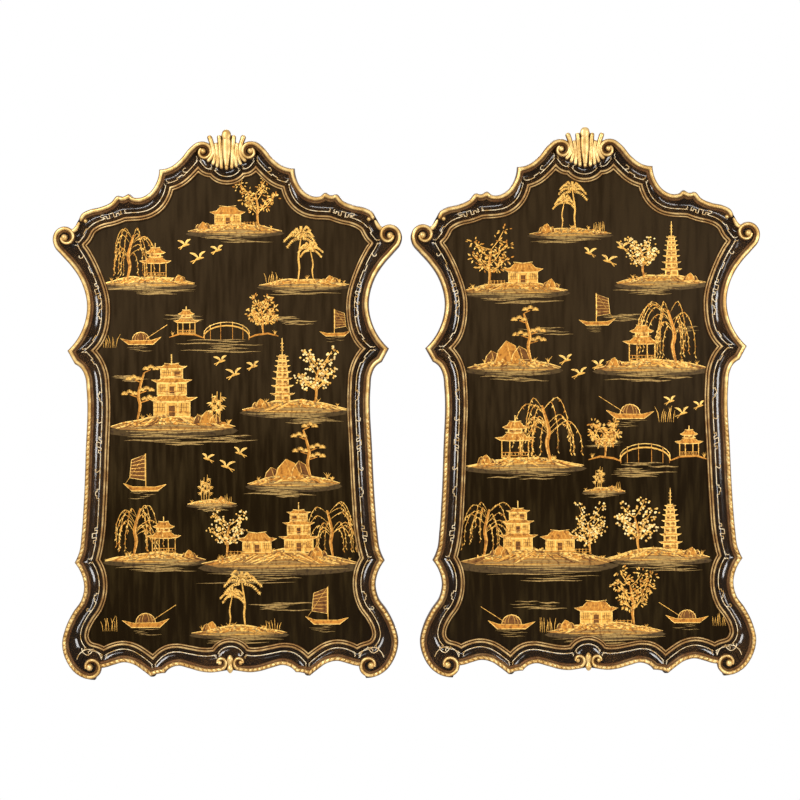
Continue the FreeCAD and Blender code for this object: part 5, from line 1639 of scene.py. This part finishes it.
class ScreenLooks(bpy.types.PropertyGroup):
    """Colours of the screens."""

    gilt: colour("Gilt", "Gold leaf", (0.50, 0.285, 0.075))
    gilt_light: colour("Light gilt", "Gold leaf where it is bright", (0.80, 0.56, 0.225))
    gilt_ground: colour("Gilt ground", "Brown ground under the leaf", (0.17, 0.066, 0.014))
    # Painted shade down the sides of the gilding and in its hollows
    gilt_painted_shade: colour("Gilt shade", "Dark toning in the hollows", (0.055, 0.020, 0.006))
    lacquer: colour("Lacquer", "Dark lacquer of the cove", (0.009, 0.0045, 0.0015))
    lacquer_brown: colour("Brown lacquer", "Lacquer where it has faded", (0.026, 0.012, 0.0035))
    panel: colour("Panel", "Lacquer of the panel", (0.0095, 0.0048, 0.0008))
    panel_olive: colour("Panel streaks", "Aged streaks of the panel", (0.0245, 0.0145, 0.0040))
    # Painted sheen that greys the upper panel
    panel_painted_sheen: colour("Panel bloom", "Paler bloom on the upper panel", (0.037, 0.0222, 0.0096))
    line: colour("Line", "Line painted in the cove", (0.86, 0.70, 0.44))
    board_dark: colour("Dark board", "Dark grain of the back", (0.10, 0.055, 0.026))
    board_light: colour("Light board", "Light grain of the back", (0.26, 0.155, 0.08))
    dowel_light: colour("Dowel", "Light grain of the dowels", (0.50, 0.33, 0.17))
    brass: colour("Brass", "Hangers where they are clean", (0.72, 0.47, 0.16))
    brass_dark: colour("Dull brass", "Hangers where they are tarnished", (0.30, 0.17, 0.05))
    steel: colour("Steel", "Screws where they are clean", (0.48, 0.47, 0.45))
    steel_dark: colour("Dull steel", "Screws where they are tarnished", (0.20, 0.18, 0.16))
    felt: colour("Felt", "Wall pads", (0.045, 0.040, 0.036))
    felt_light: colour("Light felt", "Light fibres of the wall pads", (0.11, 0.10, 0.09))
    floor: colour("Floor", "Floor under the screens", (0.80, 0.79, 0.77))


class ScreenOperator:
    """What all steps share: the sizes, the colours and a test that something was added."""

    bl_options = {"REGISTER", "UNDO"}
    adds = True

    def execute(self, context):
        """Runs the step and says so if it could not be finished."""
        before = len(bpy.data.objects)
        self.build(context.scene.screen_sizes, context.scene.screen_looks)
        if self.adds and len(bpy.data.objects) == before:
            raise RuntimeError(self.bl_label + " added nothing")
        return {"FINISHED"}


# Edges sharper than these angles in degrees stay crisp
RAIL_SHARP, GILT_SHARP = 38, 50
# How much painted shade the gilding gets: on the beads and carving, and more on the sight moulding, painted
# darker as if in shade
BEAD_PAINTED_SHADING, SIGHT_PAINTED_SHADING = 0.28, 0.78
# Numbers that the random parts of the left and the right painting start from
PAINTING_SEEDS = (7, 19)


class SCREENS_OT_rails(ScreenOperator, bpy.types.Operator):
    """Sweeps the coved rails and stiles of both frames"""

    bl_idname = "screens.rails"
    bl_label = "Rails and stiles"

    def build(self, sizes, looks):
        outline = Outline(sizes)
        finish = (cove_finish(looks), "lacquered_rail", RAIL_SHARP)

        def rings(first, last):
            rows = split_rows(first, last, ALL_CORNERS)
            return rings_between(outline.rail_rungs, rail_ring, rows, first, last)

        dress("crest_rail", Shape(mirror_rings(rings(0, JOINTS[0]))), *finish)
        dress("bottom_rail", Shape(mirror_rings(rings(JOINTS[-1], LAST)[::-1])), *finish)
        for name, first, last in zip(("upper_stile", "lower_stile", "foot_stile"), JOINTS, JOINTS[1:]):
            dress_pair(name, Shape(rings(first, last)), *finish)


class SCREENS_OT_mouldings(ScreenOperator, bpy.types.Operator):
    """Sweeps the scrolled beads and the sight mouldings, and carves the shell and the clasp"""

    bl_idname = "screens.mouldings"
    bl_label = "Gilt mouldings and carving"

    def build(self, sizes, looks):
        outline = Outline(sizes)
        gilt = (gilt_finish(looks, "gilt_wood", BEAD_PAINTED_SHADING), "gilt_wood", GILT_SHARP)
        # The sight moulding's finish, with much more painted shade than the beads
        toned = (gilt_finish(looks, "toned_gilt", SIGHT_PAINTED_SHADING), "gilt_wood", GILT_SHARP)

        def carve(spot):
            return NOTCH_CUT_SHARE if spot[1] < outline.height * CARVED_BELOW_SHARE else 0.0

        def sight(first, last):
            rows = split_rows(0, LAST, SIGHT_CORNERS)
            return rings_between(outline.sight_pairs, sight_ring, rows, first, last)

        crest = bead_shape(outline, ROWS["crest volute"], ROWS["crest curl"] + CREST_END_SHARE, CREST_CURL)
        side = bead_shape(outline, ROWS["shoulder joint"], ROWS["foot curl"], SHOULDER_CURL, FOOT_CURL, carve)
        add_leaf(outline, side)
        start = ROWS["foot heel"] + BOTTOM_START_SHARE
        bottom = bead_shape(outline, start, ROWS["clasp curl"], None, CLASP_CURL, carve)
        for name, shape in (("crest_bead", crest), ("side_bead", side), ("bottom_bead", bottom)):
            dress_pair(name, shape, *gilt)
        dress("sight_top", Shape(mirror_rings(sight(0, JOINTS[0])), SIGHT_PAINTED_LIGHTS), *toned)
        dress("sight_bottom", Shape(mirror_rings(sight(JOINTS[-1], LAST)[::-1]), SIGHT_PAINTED_LIGHTS), *toned)
        side_sight = Shape(sight(JOINTS[0], JOINTS[-1]), SIGHT_PAINTED_LIGHTS)
        dress("sight_left", side_sight.mirrored(), *toned)
        dress("sight_right", side_sight, *toned)
        dress("shell_crest", shell_shape(outline), *gilt)
        dress("bottom_clasp", clasp_shape(), *gilt)


class SCREENS_OT_lines(ScreenOperator, bpy.types.Operator):
    """Draws the thin gold line and its knots in the coves"""

    bl_idname = "screens.lines"
    bl_label = "Lines in the coves"

    def build(self, sizes, looks):
        points, edges = [], []
        for path in cove_lines(Outline(sizes)):
            for half in (path, mirror(path)):
                edges += [(len(points) + i, len(points) + i + 1) for i in range(len(half) - 1)]
                points += half
        values = {"Radius": sizes.line_width / 2, "Material": line_finish(looks)}
        tree = line_tree()
        for screen, side in SCREENS.items():
            mesh = bpy.data.meshes.new("paths")
            mesh.from_pydata(points, edges, [])
            lay(screen + "_cove_line", grown(mesh, tree, values), side)


class SCREENS_OT_paintings(ScreenOperator, bpy.types.Operator):
    """Paints the panels with islands, houses, trees, boats and birds"""

    bl_idname = "screens.paintings"
    bl_label = "Painted panels"

    def build(self, sizes, looks):
        material = paint_finish(looks)
        tree = leaf_tree()
        for (screen, side), scenes, seed in zip(SCREENS.items(), (LEFT_SCENES, RIGHT_SCENES), PAINTING_SEEDS):
            picture = painted(scenes, seed)
            mesh = new_mesh("strokes", picture.points, picture.faces)
            store(mesh, "tint", "FLOAT_COLOR", [part for tint in picture.tints for part in tint])
            lay(screen + "_painting", mesh, side, material)

            places, turns, grow, tints = [], [], [], []
            for (x, z), turn, long, wide, tint, layer in picture.leaves:
                places.append((x * MM, -(PANEL_FRONT + layer) * MM, (z - HANG) * MM))
                turns += (0.0, -turn, 0.0)
                grow += (long * MM, PAINTED_LEAF * MM, wide * MM)
                tints += (*tint, 1.0)
            seeds = bpy.data.meshes.new("leaf_places")
            seeds.from_pydata(places, [], [])
            store(seeds, "turn", "FLOAT_VECTOR", turns)
            store(seeds, "grow", "FLOAT_VECTOR", grow)
            store(seeds, "tint", "FLOAT_COLOR", tints)
            lay(screen + "_painted_leaves", grown(seeds, tree, {"Material": material}), side)


class SCREENS_OT_hardware(ScreenOperator, bpy.types.Operator):
    """Finishes the panels, backs, dowels, screws, hangers and pads"""

    bl_idname = "screens.hardware"
    bl_label = "Panels, backs and hardware"
    adds = False

    def build(self, sizes, looks):
        board = wood_finish("back_board", looks.board_dark, looks.board_light,
                            grain=5.0, along=(14.0, 14.0, 1.0))
        dowel = wood_finish("dowel_wood", looks.board_light, looks.dowel_light,
                            grain=30.0, along=(1.0, 9.0, 9.0))
        steel = metal_finish("screw_steel", looks.steel_dark, looks.steel, rough=0.32)
        brass = metal_finish("hanger_brass", looks.brass_dark, looks.brass, rough=0.24)
        finishes = {
            "panel": panel_finish(looks),
            "back_board": board,
            "frame_dowels": dowel,
            "board_screws": steel,
            "hanger_screws": steel,
            "hanger_straps": brass,
            "hanger_ring_left": brass,
            "hanger_ring_right": brass,
            "wall_pads": felt_finish(looks),
        }
        for screen in SCREENS:
            for name, material in finishes.items():
                for slot in frame["nodes"][screen + "_" + name].material_slots:
                    slot.material = material


# Studio in metres: lamps with place, aim, size and power
STUDIO_LIGHTS = (
    ("key_light", (-1.5, -2.4, 1.6), (0.0, 0.0, -0.2), 1.0, 0.6, 46.0),
    ("fill_light", (1.9, -2.6, 0.3), (0.0, 0.0, -0.2), 0.8, 1.4, 14.0),
    ("left_strip", (-1.3, -1.9, 0.8), (0.0, 0.0, -0.2), 0.06, 1.0, 15.0),
    ("right_strip", (1.4, -1.9, 0.0), (0.0, 0.0, -0.2), 0.06, 1.0, 12.0),
    ("low_strip", (0.1, -1.8, -1.25), (0.0, 0.0, -0.5), 1.4, 0.05, 7.0),
    ("back_light", (0.0, 2.6, 1.6), (0.0, 0.0, -0.2), 2.0, 1.0, 60.0),
)
# Boxes of light that only the lacquered rails mirror
GLEAM_LIGHTS = (
    ("left_box", (-1.9, -1.7, 0.1), (0.0, 0.0, -0.2), 0.9, 1.4, 420.0),
    ("right_box", (1.9, -1.7, 0.1), (0.0, 0.0, -0.2), 0.9, 1.4, 420.0),
    ("low_box", (0.0, -1.1, -1.32), (0.0, 0.0, -0.7), 1.5, 0.2, 90.0),
)
# Ambient share of the world, then the floor and the camera
STUDIO_AMBIENT = 0.48
FLOOR_LEVEL, FLOOR_HALF, FLOOR_FRONT, FLOOR_BACK, FLOOR_THICKNESS = -1.45, 2.6, 2.2, 0.8, 0.02
FLOOR_CLOUD_SHARE = 0.95
CAMERA_LENS = 100.0
CAMERA_VIEW_WIDTH = 1.771
CAMERA_AIM = (-0.0166, -0.2327)
CAMERA_ROLL = 0.4


class SCREENS_OT_stage(ScreenOperator, bpy.types.Operator):
    """Lays the floor and sets the studio light and the camera"""

    bl_idname = "screens.stage"
    bl_label = "Floor, light and camera"

    def build(self, sizes, looks):
        self.lay_floor(looks)
        self.light_world()
        for lamp in STUDIO_LIGHTS:
            self.hang_lamp(*lamp)
        rails = bpy.data.collections.new("gleaming_rails")
        for piece in bpy.data.objects:
            if piece.name.endswith("_finish") and ("_rail_" in piece.name or "_stile_" in piece.name):
                rails.objects.link(piece)
        for lamp in GLEAM_LIGHTS:
            holder = self.hang_lamp(*lamp)
            holder.visible_diffuse = False
            holder.light_linking.receiver_collection = rails
        self.set_camera()

    def place(self, name, data, spot, turn):
        """A lamp or camera at a spot, turned."""
        holder = bpy.data.objects.new(name, data)
        holder.location = spot
        holder.rotation_euler = turn
        bpy.context.scene.collection.objects.link(holder)
        return holder

    def hang_lamp(self, name, spot, aim, wide, tall, power):
        """A soft oblong lamp that looks at its aim."""
        lamp = bpy.data.lights.new(name, "AREA")
        lamp.shape = "RECTANGLE"
        lamp.size, lamp.size_y, lamp.energy = wide, tall, power
        return self.place(name, lamp, spot, (Vector(aim) - Vector(spot)).to_track_quat("-Z", "Y").to_euler())

    def set_camera(self):
        """A camera straight before the screens, as in the photograph."""
        camera = bpy.data.cameras.new("camera")
        camera.lens = CAMERA_LENS
        camera.dof.use_dof = False
        away = CAMERA_VIEW_WIDTH * CAMERA_LENS / camera.sensor_width
        scene = bpy.context.scene
        scene.camera = self.place("camera", camera, (CAMERA_AIM[0], CAD_LOW.y - away, CAMERA_AIM[1]),
                                  (math.pi / 2, math.radians(CAMERA_ROLL), 0.0))
        scene.view_settings.view_transform = "Standard"

    def lay_floor(self, looks):
        """A pale slab with a faint cloud in its colour."""
        finish = Finish("floor", Roughness=0.7)
        dim = [FLOOR_CLOUD_SHARE * part for part in looks.floor]
        material = finish.set(Base_Color=finish.place.noise(3.0).ranged(0.2, 0.8).blend(looks.floor, dim))
        half, front, back = FLOOR_HALF, -FLOOR_FRONT, FLOOR_BACK
        corners = [(x, y, z) for z in (FLOOR_LEVEL, FLOOR_LEVEL - FLOOR_THICKNESS)
                   for x, y in ((-half, front), (half, front), (half, back), (-half, back))]
        sides = [(i, i + 4, (i + 1) % 4 + 4, (i + 1) % 4) for i in range(4)]
        floor = link("floor", new_mesh("floor", corners, [(0, 1, 2, 3), (7, 6, 5, 4)] + sides), material)

    def light_world(self):
        """A white world that lights softly and is seen at full strength."""
        world = bpy.data.worlds.new("studio")
        world.use_nodes = True
        bpy.context.scene.world = world
        tree = world.node_tree
        back = tree.nodes["Background"]
        camera, glossy, through = (Socket(tree).node("ShaderNodeLightPath", {}, {}, "Is " + ray + " Ray")
                                   for ray in ("Camera", "Glossy", "Transmission"))
        white = (camera + glossy + through).ranged(0.0, 1.0, STUDIO_AMBIENT, 1.0)
        tree.links.new(white.socket, back.inputs["Strength"])
        back.inputs["Color"].default_value = (1.0, 1.0, 1.0, 1.0)


STEPS = (SCREENS_OT_rails, SCREENS_OT_mouldings, SCREENS_OT_lines, SCREENS_OT_paintings, SCREENS_OT_hardware,
         SCREENS_OT_stage)


class SCREENS_PT_panel(bpy.types.Panel):
    """Sidebar with the sizes, the colours and the steps"""

    bl_idname = "SCREENS_PT_panel"
    bl_label = "Lacquered Wall Screens"
    bl_space_type = "VIEW_3D"
    bl_region_type = "UI"
    bl_category = "Screens"

    def draw(self, context):
        for holder in (context.scene.screen_sizes, context.scene.screen_looks):
            column = self.layout.column()
            for key in holder.__annotations__:
                column.prop(holder, key)
        for step in STEPS:
            self.layout.operator(step.bl_idname)


CLASSES = (ScreenSizes, ScreenLooks, *STEPS, SCREENS_PT_panel)


def register():
    """Makes the sizes, the colours, the steps and the sidebar known to Blender."""
    for kind in CLASSES:
        bpy.utils.register_class(kind)
    bpy.types.Scene.screen_sizes = PointerProperty(type=ScreenSizes)
    bpy.types.Scene.screen_looks = PointerProperty(type=ScreenLooks)


def unregister():
    """Takes them away again."""
    del bpy.types.Scene.screen_looks
    del bpy.types.Scene.screen_sizes
    for kind in reversed(CLASSES):
        bpy.utils.unregister_class(kind)


def main():
    """Runs every step."""
    register()
    for step in STEPS:
        area, name = step.bl_idname.split(".")
        getattr(getattr(bpy.ops, area), name)()


if __name__ == "__main__":
    main()
